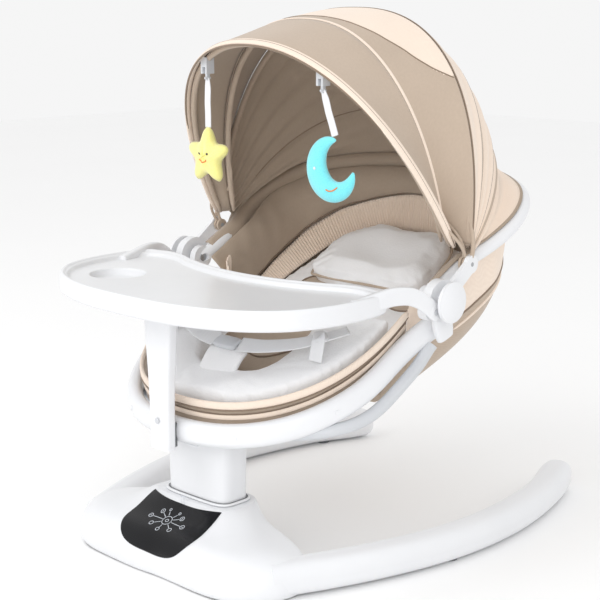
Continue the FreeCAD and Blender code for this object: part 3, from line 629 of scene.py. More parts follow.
# ------------------------------------------------------------------ canopy
def canopy():
    """The two stretched panels, their bindings and the bows' sleeves."""
    # The panels' inward faces take the darker taupe copy: painted shade.
    front = between_bows(MID_BOW, FRONT_BOW, 78.1, 59.9, 12, 4.0)
    sheet = cloth("canopy_front_cloth", front, [TAUPE, TAUPE_SHADED], inner=1)
    turn_blend(sheet, "mid_bow", "front_bow", CANOPY, MID_BOW[0], FRONT_BOW[0], "taupe_fabric",
               "canopy_front_panel")

    top = between_bows(REAR_BOW, MID_BOW, 97.1, 78.9, 60, 3.0, count=240)

    def lens_edge(across):
        return 0.86 * (1 - across ** 2) ** 0.6

    def lens(k, j):
        across = abs(j - 0.5) / 0.27
        return 1 if across < 1 and k < lens_edge(across) else 0

    sheet = cloth("canopy_top_cloth", top, [TAUPE, PEACH, TAUPE_SHADED], lens, inner=2)
    turn_blend(sheet, "seat", "mid_bow", CANOPY, REAR_BOW[0], MID_BOW[0], "taupe_fabric", "canopy_top_panel")

    outline = []
    for across in np.linspace(-0.999, 0.999, 120):
        column = top[:, int(round((0.5 + 0.27 * across) * (top.shape[1] - 1)))]
        place = lens_edge(across) * (len(top) - 1)
        low = int(place)
        outline.append(column[low] + (column[min(low + 1, len(top) - 1)] - column[low]) * (place - low))
    outline = even(smooth(outline[::4], 6), 140)
    outline += outward(outline) * 0.6
    rim = swept("lens_piping", outline, 1.1, 1.1, outward(outline), SEAM, 2.0, 8, rounded_ends(140))
    turn_blend(rim, "seat", "mid_bow", CANOPY, REAR_BOW[0], MID_BOW[0], "taupe_fabric")

    edge = bow_row(FRONT_BOW, 0.0, 26.0, 90, 59.4)
    rides(swept("front_edge_binding", edge, 6.0, 2.4, outward(edge), PEACH_SOFT, 3.0, 12,
                rounded_ends(len(edge))), "front_bow", "peach_fabric")
    piping = bow_row(FRONT_BOW, 0.5, 26.0, 90, 58.1)
    rides(swept("front_edge_piping", piping, 1.5, 1.5, outward(piping), SEAM, 2.0, 8,
                rounded_ends(len(piping))), "front_bow", "taupe_fabric")
    stitch = bow_row(FRONT_BOW, -1.9, 26.0, 90, 59.7)
    rides(swept("front_edge_stitch", stitch, 0.6, 0.6, outward(stitch), SEAM, 2.0, 6), "front_bow",
          "taupe_fabric")
    middle = bow_row(MID_BOW, -0.8, 26.0, 90, 78.5)
    rides(swept("mid_seam", middle, 2.4, 0.9, outward(middle), PEACH_SOFT, 3.0, 10,
                rounded_ends(len(middle))), "mid_bow", "peach_fabric")
    for name, bow, body, gauge in (("front_bow_sleeve", FRONT_BOW, "front_bow", 4.2),
                                   ("mid_bow_sleeve", MID_BOW, "mid_bow", 4.2),
                                   ("rear_bow_sleeve", REAR_BOW, "seat", 4.6)):
        line = bow_row(bow, 7.5, 26.0, 90)
        rides(swept(name, line, gauge, gauge, outward(line), TAUPE_SOFT, 2.0, 12,
                    rounded_ends(len(line))), body, "taupe_fabric")
    dark = bow_row(REAR_BOW, -1.0, 26.0, 90, 97.6)
    rides(swept("rear_seam", dark, 1.1, 0.9, outward(dark), SEAM, 2.0, 8), "seat", "taupe_fabric")


PLEATS = [(0.0, 0), (0.2, 2), (0.212, 3), (0.235, 1), (0.31, 0), (0.56, 2), (0.575, 0), (0.72, 1), (0.8, 0)]


def pleat(k):
    """The material slot of the drape at k, from the rear bow down."""
    found = 0
    for start, slot in PLEATS:
        if k >= start - 1e-6:
            found = slot
    return found


def drape():
    """The pleated back of the canopy, from the rear bow down to the backrest's tube."""
    upper = 80
    body = between_bows(REAR_BOW, DRAPE_END, 98.0, 146.0, upper, 3.0)
    for i in range(upper + 1):
        k = i / upper
        ripple = 2.4 * math.sin(2 * math.pi * (k * 5.2 + 0.1)) * min(1.0, k * 6)
        away = outward(body[i])
        fade = np.clip((np.linalg.norm(body[i] - CANOPY, axis=1) - 150) / 120, 0.15, 1.0)
        body[i] += away * (ripple * fade)[:, None]
    rim = rim_line(-2.0, 10.5)
    rim = even(rim[back_coords(rim)[1] > 62], 65)
    skirt = [body[-1] + (rim - body[-1]) * k for k in (0.25, 0.5, 0.75, 0.96)]
    rows = np.concatenate([body, np.array(skirt)])
    # The drape's inward face takes the darker taupe copy: painted shade.
    obj = cloth("canopy_drape", rows, [PEACH, TAUPE, SEAM, PEACH, TAUPE_SHADED],
                lambda k, j: pleat(k), inner=4, flip=True)
    turn_blend(obj, "seat", "backrest", CANOPY, 100.0, 150.0, "peach_fabric", "canopy_back_drape")
    inside = bow_row(DRAPE_END, 8.0, 90.0, 80, 128.0)
    seam = swept("drape_inner_seam", inside, 0.9, 0.9, outward(inside), SEAM, 2.0, 6)
    turn_blend(seam, "seat", "backrest", CANOPY, 100.0, 150.0, "taupe_fabric")


# ------------------------------------------------------------------ backrest
# Lines of the lining from the hinge to the head: (x, u, w) on the backrest's left half.
LINING_TOP = [(203, 4, -1), (205, 44, -1), (208, 98, -1), (219, 140, -1), (223, 182, -1),
              (192, 232, -1), (146, 260, -1), (70, 276, -1), (0, 282, -1)]
LINING_MIDDLE = [(190, 4, -26), (190, 44, -26), (192, 98, -26), (196, 140, -26), (194, 182, -24),
                 (166, 218, -20), (128, 238, -16), (64, 257, -13), (0, 264, -12)]
LINING_SEAM = [(186, 4, -66), (186, 44, -74), (190, 98, -72), (190, 140, -71), (182, 180, -66),
               (158, 210, -58), (130, 229, -50), (64, 250, -38), (0, 259, -32)]
LINING_FOOT = [(162, 10, -88), (162, 44, -94), (162, 98, -95), (152, 150, -95), (140, 186, -94),
               (120, 210, -93), (92, 224, -91), (50, 231, -89), (0, 233, -88)]


def backrest():
    """The pod, the lining, the pleated band, the pillow and the back pad."""
    pod = from_node("pod_cloth", "backrest_pod", 3.2, [PEACH_SOFT, TAUPE_SOFT])
    pod = relax(pod, 3)
    p = coords(pod)
    x, u, w = back_coords(p)
    around = np.arctan2(x, u - 110)
    gathers = np.sin(around * 46 + 2.0 * np.sin(around * 7)) * np.exp(-((w + 40) / 26) ** 2)
    folds = np.sin(around * 17 + w * 0.05) * np.exp(-((w + 52) / 30) ** 2)
    set_coords(pod, p + normals(pod) * (0.9 * gathers + 1.3 * folds)[:, None])

    def bands(c):
        depth = back_coords(c)[2]
        return np.where(depth > -78, 0, 1)

    paint(pod, bands)
    rides(pod, "backrest", "peach_fabric", "backrest_pod")
    tree = surface_of(pod)
    angles = np.linspace(math.radians(-114), math.radians(114), 150)
    for name, w, gauge, material, slot in (("pod_band_piping", -78.0, 1.5, SEAM, "taupe_fabric"),
                                           ("pod_edge_piping", -92.0, 2.2, PEACH_SOFT, "peach_fabric")):
        line = []
        for angle in angles:
            inwards = back_point(-math.sin(angle), -math.cos(angle), 0) - back_point(0, 0, 0)
            start = back_point(230 * math.sin(angle), 110 + 170 * math.cos(angle), w)
            line.append(project(tree, [start], inwards, 0.2)[0])
        line = even(np.array(line), 150)
        rides(swept(name, line, gauge, gauge, BACK_UP, material, 2.0, 10, rounded_ends(150)), "backrest",
              slot)

    # The lining and the rim cover take the darker taupe copy: painted shade.
    lining = cloth("rim_lining_soft", lining_rows([LINING_TOP, LINING_MIDDLE, LINING_SEAM], 14, 150),
                   TAUPE_SHADED, thickness=4.0, flip=True)
    p = coords(lining)
    x, u, w = back_coords(p)
    creases = 0.5 * np.sin(x * 0.11 + w * 0.16) + 0.5 * np.sin(u * 0.17 - w * 0.09)
    set_coords(lining, p + normals(lining) * creases[:, None])

    def lining_seams(points):
        x, u, w = back_coords(points)
        return np.where((w > -6) | (w < -64 + 0.14 * np.clip(u - 190, 0, 80)), 1.0, 0.0)

    lining = puff(lining, 2.5, lining_seams)
    rides(lining, "backrest", "taupe_fabric", "rim_lining")
    cover = [rim_line(margin, w)[2:-2] for margin, w in
             ((-3.0, 12.4), (4.0, 12.4), (9.5, 9.4), (12.6, 4.0), (13.6, -3.0), (15.5, -9.0))]
    cover = [even(row, 150) for row in cover]
    obj = cloth("rim_cover", cover, TAUPE_SHADED, thickness=1.2, flip=True)
    rides(obj, "backrest", "taupe_fabric")
    # A dark cord along the seam between the lining and the ribbed band: painted shadow in the seam.
    edge = lining_rows([LINING_SEAM], 1, 220)[0]
    rides(swept("lining_seam_shadow", edge, 1.4, 1.4, BACK_UP, SEAM, 2.0, 8, rounded_ends(220)), "backrest",
          "taupe_fabric")

    rows = lining_rows([[(x * 0.985, u, w - 3) for x, u, w in LINING_SEAM], LINING_FOOT], 8, 1000)
    line = rows[0]
    along = np.concatenate([[0], np.cumsum(np.linalg.norm(np.diff(line, axis=0), axis=1))])
    way = unit(np.gradient(line, axis=0))
    across = unit(rows[-1] - rows[0])
    face = unit(np.cross(across, way))
    pleats = 1.4 * np.sin(2 * math.pi * along / 5.0 + 0.5 * np.sin(along / 31))
    rows = [row + face * pleats[:, None] for row in rows]
    band = cloth("ribbed_band_cloth", rows, PEACH, thickness=1.0, flip=True)
    rides(band, "backrest", "peach_fabric", "ribbed_band")

    head = from_node("head_pillow_soft", "head_pillow", 4.5, [FLEECE])
    p = coords(head)
    x, u, w = back_coords(p)
    dent = np.exp(-(((x - 10) / 60) ** 2 + ((u - 140) / 30) ** 2))
    up = np.clip((w + 80) / 16, 0, 1)
    p = p - BACK_UP * (up * (7.0 * dent + 1.5 * np.sin(x * 0.05) * np.sin(u * 0.07)))[:, None]
    set_coords(head, p)

    def pillow_seams(points):
        x, u, w = back_coords(points)
        return np.where(np.abs(w + 80) < 4, 0.9, np.where(w < -86, 0.5, 0.0))

    head = puff(head, 9.0, pillow_seams)
    rides(head, "backrest", "white_plush", "head_pillow")
    half = [(84, 92), (104, 100), (106, 146), (96, 190), (70, 214)]
    flat = smooth([(0, 91)] + half + [(0, 218)] + [(-x, u) for x, u in reversed(half)], 10, closed=True)
    line = back_point(flat[:, 0] * 1.012, 154 + (flat[:, 1] - 154) * 1.016, -80.0)
    rides(swept("head_pillow_piping", line, 2.0, 2.0, BACK_UP, TAUPE_SOFT, 2.0, 8, closed=True), "backrest",
          "taupe_fabric")

    pad = from_node("back_pad_soft", "back_pad", 5.0, [FLEECE, TAUPE_SOFT])
    p = coords(pad)
    p[:, 0] *= 1.06
    set_coords(pad, p + BACK_UP * 5.0)

    def pad_seams(points):
        x, u, w = back_coords(points)
        stitched = np.abs(np.hypot((np.abs(x) - 87) / 35, (u - 84) / 23) - 1) < 0.1
        return np.where((w < -99) | stitched, 1.0, 0.0)

    pad = puff(pad, 8.0, pad_seams)

    def oval(c):
        x, u, w = back_coords(c)
        return np.where((((np.abs(x) - 87) / 34) ** 2 + ((u - 84) / 22) ** 2 < 1) & (w > -106), 1, 0)

    paint(pad, oval)
    rides(pad, "backrest", "white_plush", "back_pad")
    tree = surface_of(pad)
    t = np.linspace(0, 2 * math.pi, 60, endpoint=False)
    for sign, name in ((1, "left"), (-1, "right")):
        ring = back_point(sign * 87 + 34.5 * np.cos(t), 84 + 22.5 * np.sin(t), -90.0)
        ring = project(tree, ring, -BACK_UP, 0.6)
        rides(swept(f"back_patch_piping_{name}", ring, 1.4, 1.4, BACK_UP, SEAM, 2.0, 8, closed=True),
              "backrest", "taupe_fabric")


def lining_rows(lines, rows, count):
    """Rows between lines on the backrest, each evenly spaced from the left side to the right."""
    grid = []
    for line in lines:
        places = line + [(-x, u, w) for x, u, w in reversed(line[:-1])]
        flat = even(smooth(places, 12), count)
        grid.append(back_point(flat[:, 0], flat[:, 1], flat[:, 2]))
    if len(grid) == 1:
        return grid
    grid = np.array(grid)
    k = np.linspace(0, 1, rows)
    if len(grid) == 2:
        return [grid[0] + (grid[1] - grid[0]) * v for v in k]
    a, b, c = grid
    mid = 2 * b - 0.5 * (a + c)
    return [(1 - v) ** 2 * a + 2 * v * (1 - v) * mid + v * v * c for v in k]


# ------------------------------------------------------------------ seat
def seat():
    """The wall round the ring, its hems, the cushion and its pipings."""
    count = 140
    rows = []
    profile = [(18.0, -6.0), (15.5, 2.0), (14.5, 12.0), (14.0, 20.0), (13.0, 27.0), (11.5, 33.0)]
    for margin, lift in profile:
        line = even(on_ring(ring_line(margin, 4.0), lift), count)
        swell = 0.7 * np.sin(np.arange(count) * 0.55) * (1 if lift > 0 else 0)
        line[:, :2] *= (1 + swell / 600)[:, None]
        rows.append(line)
    wall = cloth("seat_wall", rows, [TAUPE, PEACH, SEAM], lambda k, j: 0 if k < 0.95 else 1,
                 thickness=2.2)
    rides(wall, "seat", "taupe_fabric", "seat_sling")
    # upper_hem_shadow is a dark cord just under the upper hem: painted shadow of the hem on the wall.
    for name, margin, lift, width, gauge, material, slot in (
            ("upper_hem", 9.0, 35.0, 2.6, 5.2, PEACH_SOFT, "peach_fabric"),
            ("upper_hem_shadow", 7.6, 29.0, 0.9, 0.9, SEAM, "taupe_fabric"),
            ("lower_hem", 12.2, 17.6, 1.8, 3.4, PEACH_SOFT, "peach_fabric"),
            ("lower_hem_seam", 11.6, 21.8, 0.8, 0.8, SEAM, "taupe_fabric")):
        line = even(on_ring(ring_line(margin, 2.0), lift), 160)
        rides(swept(name, line, width, gauge, (0, 0, 1), material, 2.6, 12, rounded_ends(160)), "seat", slot)

    pad = from_node("seat_cushion", "seat_pad", 5.0, [FLEECE, TAUPE_SOFT])
    p = coords(pad)
    floor = ring_z(p[:, 1])
    height = np.clip((p[:, 2] - floor) / 16.0, 0.0, 1.0)
    middle = hollow(p)
    roll = np.clip(1 - middle, 0, 1)
    lobes = 3.0 * np.sin(p[:, 0] * 0.055 + 0.6) * np.exp(-((p[:, 1] + 200) / 60) ** 2)
    p[:, 2] += height * ((25.0 + lobes) * roll - 4.0 * middle)
    p[:, 0] *= 1 + 0.04 * height * roll
    p[:, 1] += (p[:, 1] + 78) * 0.05 * height * roll
    set_coords(pad, p)

    def held(points):
        low = points[:, 2] - ring_z(points[:, 1]) < 4
        crease = (np.abs(points[:, 0]) < 7) & (points[:, 1] < -150)
        side_crease = 150 + 0.25 * (points[:, 1] + 60)
        crease |= (np.abs(np.abs(points[:, 0]) - side_crease) < 3) & (points[:, 1] > -120)
        return np.where(low | (hollow(points) > 0.75), 1.0, np.where(crease, 1.0, 0.0))

    pad = puff(pad, 11.0, held)
    paint(pad, lambda c: np.where((hollow(c) > 0.55) & (c[:, 2] > ring_z(c[:, 1]) + 2), 1, 0))
    rides(pad, "seat", "white_plush", "seat_pad")
    tree = surface_of(pad)
    t = np.linspace(0, 2 * math.pi, 90, endpoint=False)
    c, s = power_pair(t, 3.0)
    ring = np.stack([66 * c, -78 + 66 * s, 0 * t + 300], 1)
    ring = project(tree, ring, (0, 0, -1), 0.8)
    rides(swept("seat_centre_piping", ring, 1.7, 1.7, (0, 0, 1), TAUPE_SOFT, 2.0, 8, closed=True), "seat",
          "taupe_fabric")
    flap = np.stack([np.linspace(-50, 50, 50), -62 - 26 * np.cos(np.linspace(-1.5, 1.5, 50)),
                     np.full(50, 300.0)], 1)
    flap = project(tree, flap, (0, 0, -1), 1.0)
    rides(swept("seat_flap_piping", flap, 1.3, 1.3, (0, 0, 1), SEAM, 2.0, 8), "seat", "taupe_fabric")
    # A flat dark bar on the cushion stands for the harness slot's opening: painted shade.
    slot_line = np.stack([np.linspace(-9, 9, 12), np.full(12, -66.0), np.full(12, 300.0)], 1)
    slot_line = project(tree, slot_line, (0, 0, -1), 0.6)
    rides(swept("harness_slot_shade", slot_line, 2.4, 0.9, (0, 0, 1), SEAM, 3.0, 10, rounded_ends(12)), "seat",
          "taupe_fabric")
    harness()


def hollow(points):
    """1 in the seat's sunken middle, 0 on the padded roll round it."""
    x, y = np.abs(points[:, 0]) / 66.0, np.abs(points[:, 1] + 78) / 66.0
    reach = (x ** 3 + y ** 3) ** (1 / 3)
    return np.clip((1.12 - reach) / 0.24, 0.0, 1.0)


def harness():
    """The crotch pad, the buckle and the two waist straps with their adjusters."""
    strap_path = smooth([(0, -178, 216), (0, -168, 238), (0, -156, 258), (0, -144, 272), (0, -130, 281)], 10)
    pad = swept("crotch_pad", strap_path, 33.0, 7.0, (0, -1, 0.35), FLEECE, 3.2, 24,
                rounded_ends(len(strap_path), 5))
    rides(pad, "seat", "white_plush", "crotch_strap")
    lock = swept("buckle_body", smooth([(0, -150, 282), (0, -141, 288), (0, -130, 291)], 8), 21.0, 4.5,
                 (0, -1, 0.4), COOL, 4.0, 24, rounded_ends(17, 3))
    rides(lock, "seat", "grey_plastic", "buckle")
    for sign, name in ((1, "left"), (-1, "right")):
        way = [(22, -139, 288), (56, -132, 290), (94, -118, 296), (126, -98, 305), (152, -66, 316)]
        line = even(smooth([(sign * x, y, z) for x, y, z in way], 10), 50)
        facing = (-0.25 * sign, -0.6, 0.8)
        strap = swept(f"waist_webbing_{name}", line, 12.5, 0.9, facing, STRAP, 5.0, 16)
        rides(strap, "seat", "white_webbing", f"waist_strap_{name}")
        middle = line[34:41] + np.array([0, -1.0, 2.0])
        adjuster = swept(f"strap_adjuster_{name}", middle, 15.5, 2.6, facing, WHITE, 4.5, 20,
                         rounded_ends(7, 2))
        rides(adjuster, "seat", "white_plastic")
        tail = smooth([line[37] + (0, -2, 4), line[37] + (sign * 6, -10, 2), line[37] + (sign * 9, -16, -10),
                       line[37] + (sign * 8, -19, -26)], 8)
        end = swept(f"strap_tail_{name}", tail, 9.5, 0.8, (0.3 * sign, -0.9, 0.3), STRAP, 5.0, 14)
        rides(end, "seat", "white_webbing")


# ------------------------------------------------------------------ tray
TRAY_OUTER = [(0, -322), (90, -316), (165, -290), (215, -245), (236, -190), (240, -130), (232, -84)]
TRAY_INNER = [(212, -76), (190, -72), (160, -76), (120, -92), (64, -108), (0, -114)]
DISH_OUTER = [(0, -310), (84, -304), (158, -279), (204, -238), (224, -188), (227, -132), (220, -98)]
DISH_INNER = [(206, -90), (188, -86), (162, -89), (124, -105), (66, -121), (0, -127)]
CUP = np.array([-150.0, -205.0])
LUG_PROFILE = [(0, 0), (0, 10.6), (0.5, 11.5), (3.8, 11.5), (4.3, 10.8), (4.3, 4.6), (4.3, 0)]
CAP_PROFILE = [(0, 0), (0, 3.8), (0.3, 3.6), (0.45, 2.4), (0.25, 1.0), (0.25, 0)]


def closed_half(half):
    """A closed outline from half of it."""
    points = half + [(-x, y) for x, y in reversed(half) if x > 0]
    return smooth(points, 9, closed=True)


def tray():
    """The dished tray with its cup recess, its two arms and their lugs."""
    outer = closed_half(TRAY_OUTER + TRAY_INNER)
    dish = closed_half(DISH_OUTER + DISH_INNER)
    n = len(outer)
    profile = [(0.7, 353.0), (0.35, 353.0), (0.12, 354.2), (0.0, 357.5), (-0.03, 363.0), (-0.03, 370.0),
               (0.01, 375.5), (0.1, 378.8), (0.25, 380.0), (0.4, 379.7), (0.49, 378.4), (0.53, 377.7),
               (0.66, 377.5), (0.78, 376.6), (0.88, 374.4), (0.96, 372.2), (1.06, 371.2), (1.15, 371.0)]
    verts = []
    for k, z in profile:
        ring = outer + (dish - outer) * k
        verts += [(x, y, z) for x, y in ring]
    faces = grid_faces(len(profile), n, closed=True)
    low, high = verts[:n], verts[-n:]
    start = len(verts)
    angles = 2 * math.pi * np.arange(56) / 56
    cup_profile = [(40.5, 371.0), (39.3, 370.8), (38.3, 370.0), (37.6, 367.5), (37.0, 363.0), (35.6, 360.8),
                   (33.0, 360.1), (20.0, 360.0), (0.1, 360.0)]
    for r, z in cup_profile:
        verts += [(CUP[0] + r * math.cos(a), CUP[1] + r * math.sin(a), z) for a in angles]
    for i in range(len(cup_profile) - 1):
        a, b = start + i * 56, start + (i + 1) * 56
        faces += [[a + j, a + (j + 1) % 56, b + (j + 1) % 56, b + j] for j in range(56)]
    floor = [Vector(v[:2]) for v in high] + [Vector(v[:2]) for v in verts[start:start + 56]]
    loops = [list(range(n)), list(range(n + 55, n - 1, -1))]
    faces += fill(floor, loops, list(range((len(profile) - 1) * n, len(profile) * n))
                  + list(range(start, start + 56)), CUP)
    faces += [f[::-1] for f in fill([Vector(v[:2]) for v in low], [list(range(n))], list(range(n)), None)]
    body = piece("tray_body", verts, faces, WHITE)
    rides(body, "tray", "white_plastic", "tray")
    for sign, name in ((1, "left"), (-1, "right")):
        route = [(224, -136, 366), (231, -104, 371), (236.5, -80, 374.5), (243, -56, 373), (248.5, -38, 366),
                 (251.4, -24, 356), (252, -12, 346)]
        line = even(smooth([(sign * x, y, z) for x, y, z in route], 8), 46)
        widths = np.interp(np.linspace(0, 1, 46), [0, 0.35, 0.55, 0.75, 0.9, 1], [7, 7, 6.2, 3.6, 2.3, 2.1])
        heights = np.interp(np.linspace(0, 1, 46), [0, 0.3, 0.7, 1], [11.0, 12.0, 11.6, 11.0])
        arm = swept(f"tray_arm_{name}", line, 1.0, 1.0, (0, 0.25, 1), WHITE, 3.4, 24,
                    np.stack([widths, heights], 1))
        rides(arm, "tray", "white_plastic")
        lug = lathe(f"tray_lug_{name}", LUG_PROFILE, (sign * 249.9, -12, 347), (sign, 0, 0), WHITE)
        rides(lug, "tray", "white_plastic")
        dot = lathe(f"tray_lug_cap_{name}", CAP_PROFILE, (sign * 254.3, -12, 347), (sign, 0, 0), COOL, 24)
        rides(dot, "tray", "grey_plastic")
    clip = lathe("post_screw", [(0, 0), (0, 4.0), (0.7, 3.7), (1.0, 2.6), (0.5, 1.2), (0.5, 0)],
                 (0, -266.4, 205), (0, -1, 0), COOL, 24)
    rides(clip, "tray", "grey_plastic")


def fill(points, loops, names, hole):
    """Triangles over a flat outline, leaving a round hole out."""
    out = delaunay_2d_cdt(points, [], loops, 1 if hole is None else 2, 1e-4)
    faces = []
    for face in out[2]:
        spots = [out[0][i] for i in face]
        centre = sum(spots, Vector((0, 0))) / len(spots)
        if hole is not None and (centre - Vector(hole)).length < 39:
            continue
        real = [names[out[3][i][0]] for i in face if out[3][i]]
        if len(real) == len(face):
            area = sum(a.x * b.y - b.x * a.y for a, b in zip(spots, spots[1:] + spots[:1]))
            faces.append(real if area > 0 else real[::-1])
    return faces


# ------------------------------------------------------------------ base details
def base():
    """The column's lip, a painted shadow ring at the column's foot and the marks on the touch panel."""
    collar_t = np.linspace(0, 2 * math.pi, 96, endpoint=False)
    c, s = power_pair(collar_t, 4.5)
    line = np.stack([60.5 * c, -179.5 + 29.5 * s, np.full(96, 86.2)], 1)
    rides(swept("column_lip", line, 2.2, 1.6, (0, 0, 1), WHITE, 3.0, 12, closed=True), "base",
          "white_plastic")
    # A thin dark grey ring at the lip: painted shadow in the gap under the column's edge.
    line = np.stack([59.4 * c, -179.5 + 28.4 * s, np.full(96, 88.2)], 1)
    rides(swept("column_gap_shadow", line, 0.5, 0.5, (0, 0, 1), RUBBER, 2.0, 8, closed=True), "base",
          "rubber_feet")
    plate = NODES["touch_panel"]
    tree = surface_of(plate)
    plate.material_slots[0].material = GLOSS
    hub_y, print_z = -253, 90
    marks = []

    def circle(x, y, r, first=0.0, last=360.0):
        t = np.radians(np.linspace(first, last, 28, endpoint=last - first < 360))
        ring = np.stack([x + r * np.cos(t), y + r * np.sin(t), 0 * t + print_z], 1)
        marks.append((ring, last - first >= 360))

    def stroke(*places):
        x, y = np.array(places, float).T
        marks.append((np.stack([x, y, np.full(len(x), float(print_z))], 1), False))

    circle(0, hub_y, 7.0)
    circle(0, hub_y, 2.2)
    for x, y, r in ((-19, -243, 3.0), (19, -243, 3.0), (-31, -254, 3.2), (31, -254, 3.2), (-18, -265, 3.0),
                    (18, -265, 3.0), (0, -270, 2.6), (-9, -238, 1.6), (9, -238, 1.6)):
        circle(x, y, r)
        away = math.hypot(x, y - hub_y)
        near, far = 8.4 / away, 1 - (r + 1.2) / away
        stroke(*[(x * k, hub_y + (y - hub_y) * k) for k in (near, (near + far) / 2, far)])
    for r in (4.0, 6.5):
        circle(0, -228, r, 40, 140)
    for x in (-31, 31):
        stroke((x - 1.4, -254), (x, -254), (x + 1.4, -254))
    for x in (-19, 19):
        stroke((x, -244.4), (x, -243), (x, -241.6))
    for number, (line, closed) in enumerate(marks):
        line = project(tree, line, (0, 0, -1), 0.12)
        rides(swept(f"panel_mark_{number}", line, 0.45, 0.16, (0, -0.5, 1), MARKS, 2.0, 6, closed=closed),
              "base", "white_plastic")


# ------------------------------------------------------------------ toys
def hook(x):
    """Where a toy's clip hangs under the front bow."""
    degrees, half_width, height, power = FRONT_BOW
    c = (abs(x) / (half_width - 7.5)) ** (power / 2)
    rise = (height - 7.5) * math.sqrt(1 - c * c) ** (2 / power)
    tilt = math.radians(degrees)
    return np.array([x, CANOPY[1] - rise * math.cos(tilt), CANOPY[2] + rise * math.sin(tilt) - 14.0])


def ribbon(name, body, top, node, lean, drop):
    """A toy's flat hanging ribbon."""
    top = top - np.array([0, 0, 11.0])
    shares = (0, 0.25, 0.5, 0.75, 1)
    line = np.array([top + (lean * k, 0.4 * math.sin(9 * k), 0.5 - drop * k) for k in shares])
    line = even(smooth(line, 8), 40)
    obj = swept(name, line, 5.6, 1.1, (0, -1, 0), STRAP, 4.0, 16,
                np.interp(np.linspace(0, 1, 40), [0, 0.08, 0.2, 1], [0.6, 0.8, 1, 1]))
    rides(obj, body, "white_webbing", node)


def star():
    """The star with its eyes and smile."""
    top = hook(-100.0)
    ribbon("star_ribbon_cloth", "star", top, "star_ribbon", 0.0, 68.0)
    centre = top + np.array([0, 0, -11 - 66 - 41.0])
    n, rings = 100, 12
    angle = np.linspace(0, 2 * math.pi, n, endpoint=False)
    lobes = 0.5 + 0.5 * np.cos(5 * (angle - math.pi / 2))
    radius = 25.0 + 16.0 * lobes ** 1.5
    verts, layers = [], []
    for side in (-1, 1):
        for k in np.linspace(0.02, 1.0, rings):
            depth = side * 12.5 * (1 - k ** 2.6) ** 0.55
            verts += [centre + (radius[i] * k * math.cos(a), depth * (0.8 + 0.2 * (1 - lobes[i])),
                                radius[i] * k * math.sin(a)) for i, a in enumerate(angle)]
        layers.append(grid_faces(rings, n, closed=True, flip=side > 0))
    faces = layers[0] + [[i + rings * n for i in f] for f in layers[1]]
    faces += [list(range(n))[::-1], list(range(rings * n, rings * n + n))]
    rim, back = (rings - 1) * n, (2 * rings - 1) * n
    faces += [[rim + j, rim + (j + 1) % n, back + (j + 1) % n, back + j] for j in range(n)]
    obj = piece("star_plush", verts, faces, YELLOW)
    merge(obj)
    rides(obj, "star", "yellow_toy", "star_toy")
    tree = surface_of(obj)
    for name, x in (("star_eye_a", -7.5), ("star_eye_b", 7.5)):
        spot = project(tree, [centre + (x, 0, 4.0)], (0, 1, 0), 0.1)[0]
        eye = lathe(name, [(0, 0), (0, 2.0), (0.5, 1.7), (0.8, 0.9), (0.9, 0)], spot, (0, -1, 0), INK, 20)
        rides(eye, "star", "yellow_toy")
    t = np.linspace(-1, 1, 16)
    smile = np.stack([centre[0] + 7 * t, np.full(16, centre[1]), centre[2] - 8 + 4 * t * t], 1)
    smile = project(tree, smile, (0, 1, 0), 0.3)
    rides(swept("star_smile", smile, 0.8, 0.8, (0, 0, 1), ORANGE, 2.0, 8, rounded_ends(16, 2)), "star",
          "yellow_toy")


def merge(obj):
    """Joins points that lie on each other."""
    weld = obj.modifiers.new("weld", "WELD")
    weld.merge_threshold = 0.00002
    return settle(obj)


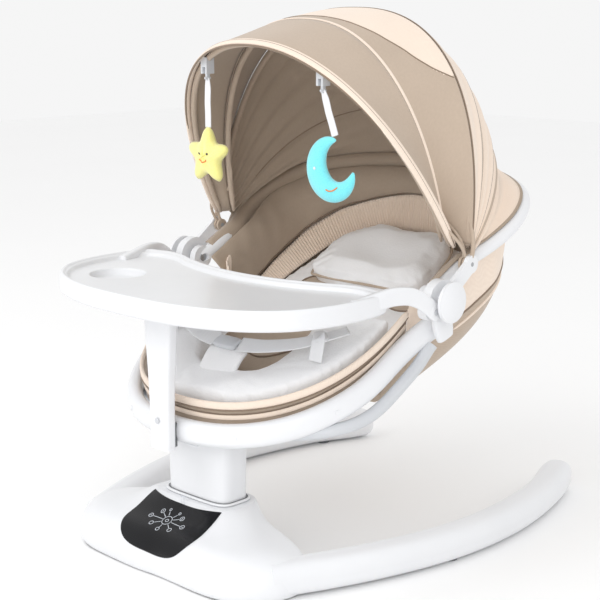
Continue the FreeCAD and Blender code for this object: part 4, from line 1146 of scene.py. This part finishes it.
def moon():
    """The crescent moon with its eye and smile."""
    top = hook(113.0)
    ribbon("moon_ribbon_cloth", "moon", top, "moon_ribbon", 21.0, 57.0)
    centre = top + np.array([21, 0, -11 - 53 - 42.0])
    t = np.linspace(math.radians(88), math.radians(350), 70)
    middle = np.stack([centre[0] + 32.0 * np.cos(t), np.full(70, centre[1]), centre[2] + 33 * np.sin(t)], 1)
    k = np.linspace(0, 1, 70)
    bulge = np.sin(math.pi * np.clip(k, 0.001, 0.999)) ** 0.75
    obj = swept("moon_plush", middle, 1.0, 1.0, (0, -1, 0), TURQUOISE, 2.1, 26,
                np.stack([1.2 + 15.0 * bulge, 1.0 + 9.5 * bulge], 1))
    rides(obj, "moon", "turquoise_toy", "moon_toy")
    tree = surface_of(obj)
    s = np.linspace(-1, 1, 18)
    rise = 3.5 * s * s + 2 * s - 31
    smile = np.stack([centre[0] + 2 + 9 * s, np.full(18, centre[1]), centre[2] + rise], 1)
    smile = project(tree, smile, (0, 1, 0), 0.3)
    rides(swept("moon_smile", smile, 0.9, 0.9, (0, 0, 1), ORANGE, 2.0, 8, rounded_ends(18, 2)), "moon",
          "turquoise_toy")
    spot = project(tree, [centre + (-27, 0, -4)], (0, 1, 0), 0.1)[0]
    profile = [(0, 0), (0, 2.2), (0.5, 1.8), (0.8, 1.0), (0.9, 0)]
    eye = lathe("moon_eye", profile, spot, (0, -1, 0), STRAP, 20)
    rides(eye, "moon", "turquoise_toy")


canopy()
drape()
backrest()
seat()
tray()
base()
star()
moon()


# ------------------------------------------------------------------ studio
def studio():
    """World, lights, floor and camera."""
    world = bpy.data.worlds.new("studio")
    bpy.context.scene.world = world
    world.use_nodes = True
    world.node_tree.nodes["Background"].inputs["Color"].default_value = (1.0, 1.0, 1.0, 1.0)
    world.node_tree.nodes["Background"].inputs["Strength"].default_value = 0.92
    for name, place, size, power in (("key", (-0.6, -2.2, 2.3), 1.8, 20.0),
                                     ("fill", (1.7, -2.4, 1.3), 2.0, 18.0)):
        data = bpy.data.lights.new(name, "AREA")
        data.size = size
        data.energy = power
        light = bpy.data.objects.new(name, data)
        bpy.context.scene.collection.objects.link(light)
        light.location = place
        light.rotation_euler = (Vector((0, 0, 0.35)) - Vector(place)).to_track_quat("-Z", "Y").to_euler()
    floor_mesh = bpy.data.meshes.new("floor")
    floor_mesh.from_pydata([(-6, -6, 0), (6, -6, 0), (6, 6, 0), (-6, 6, 0)], [], [(0, 1, 2, 3)])
    floor = bpy.data.objects.new("floor", floor_mesh)
    bpy.context.scene.collection.objects.link(floor)
    paper = Stuff("studio_floor", 0.9)
    paper.colour(paper.blend_colours(paper.noise(paper.place("Object"), 2.0), (0.965, 0.965, 0.965, 1),
                                     (0.98, 0.98, 0.98, 1)))
    floor_mesh.materials.append(paper.material)
    data = bpy.data.cameras.new("camera")
    data.lens = 85.8
    data.sensor_width = 36.0
    camera = bpy.data.objects.new("camera", data)
    bpy.context.scene.collection.objects.link(camera)
    camera.location = (1.3685, -1.4446, 0.7427)
    aim = Vector((0, -0.0275, 0.324)) - camera.location
    camera.rotation_euler = aim.to_track_quat("-Z", "Y").to_euler()
    bpy.context.scene.camera = camera
    bpy.context.scene.view_settings.view_transform = "Standard"


studio()
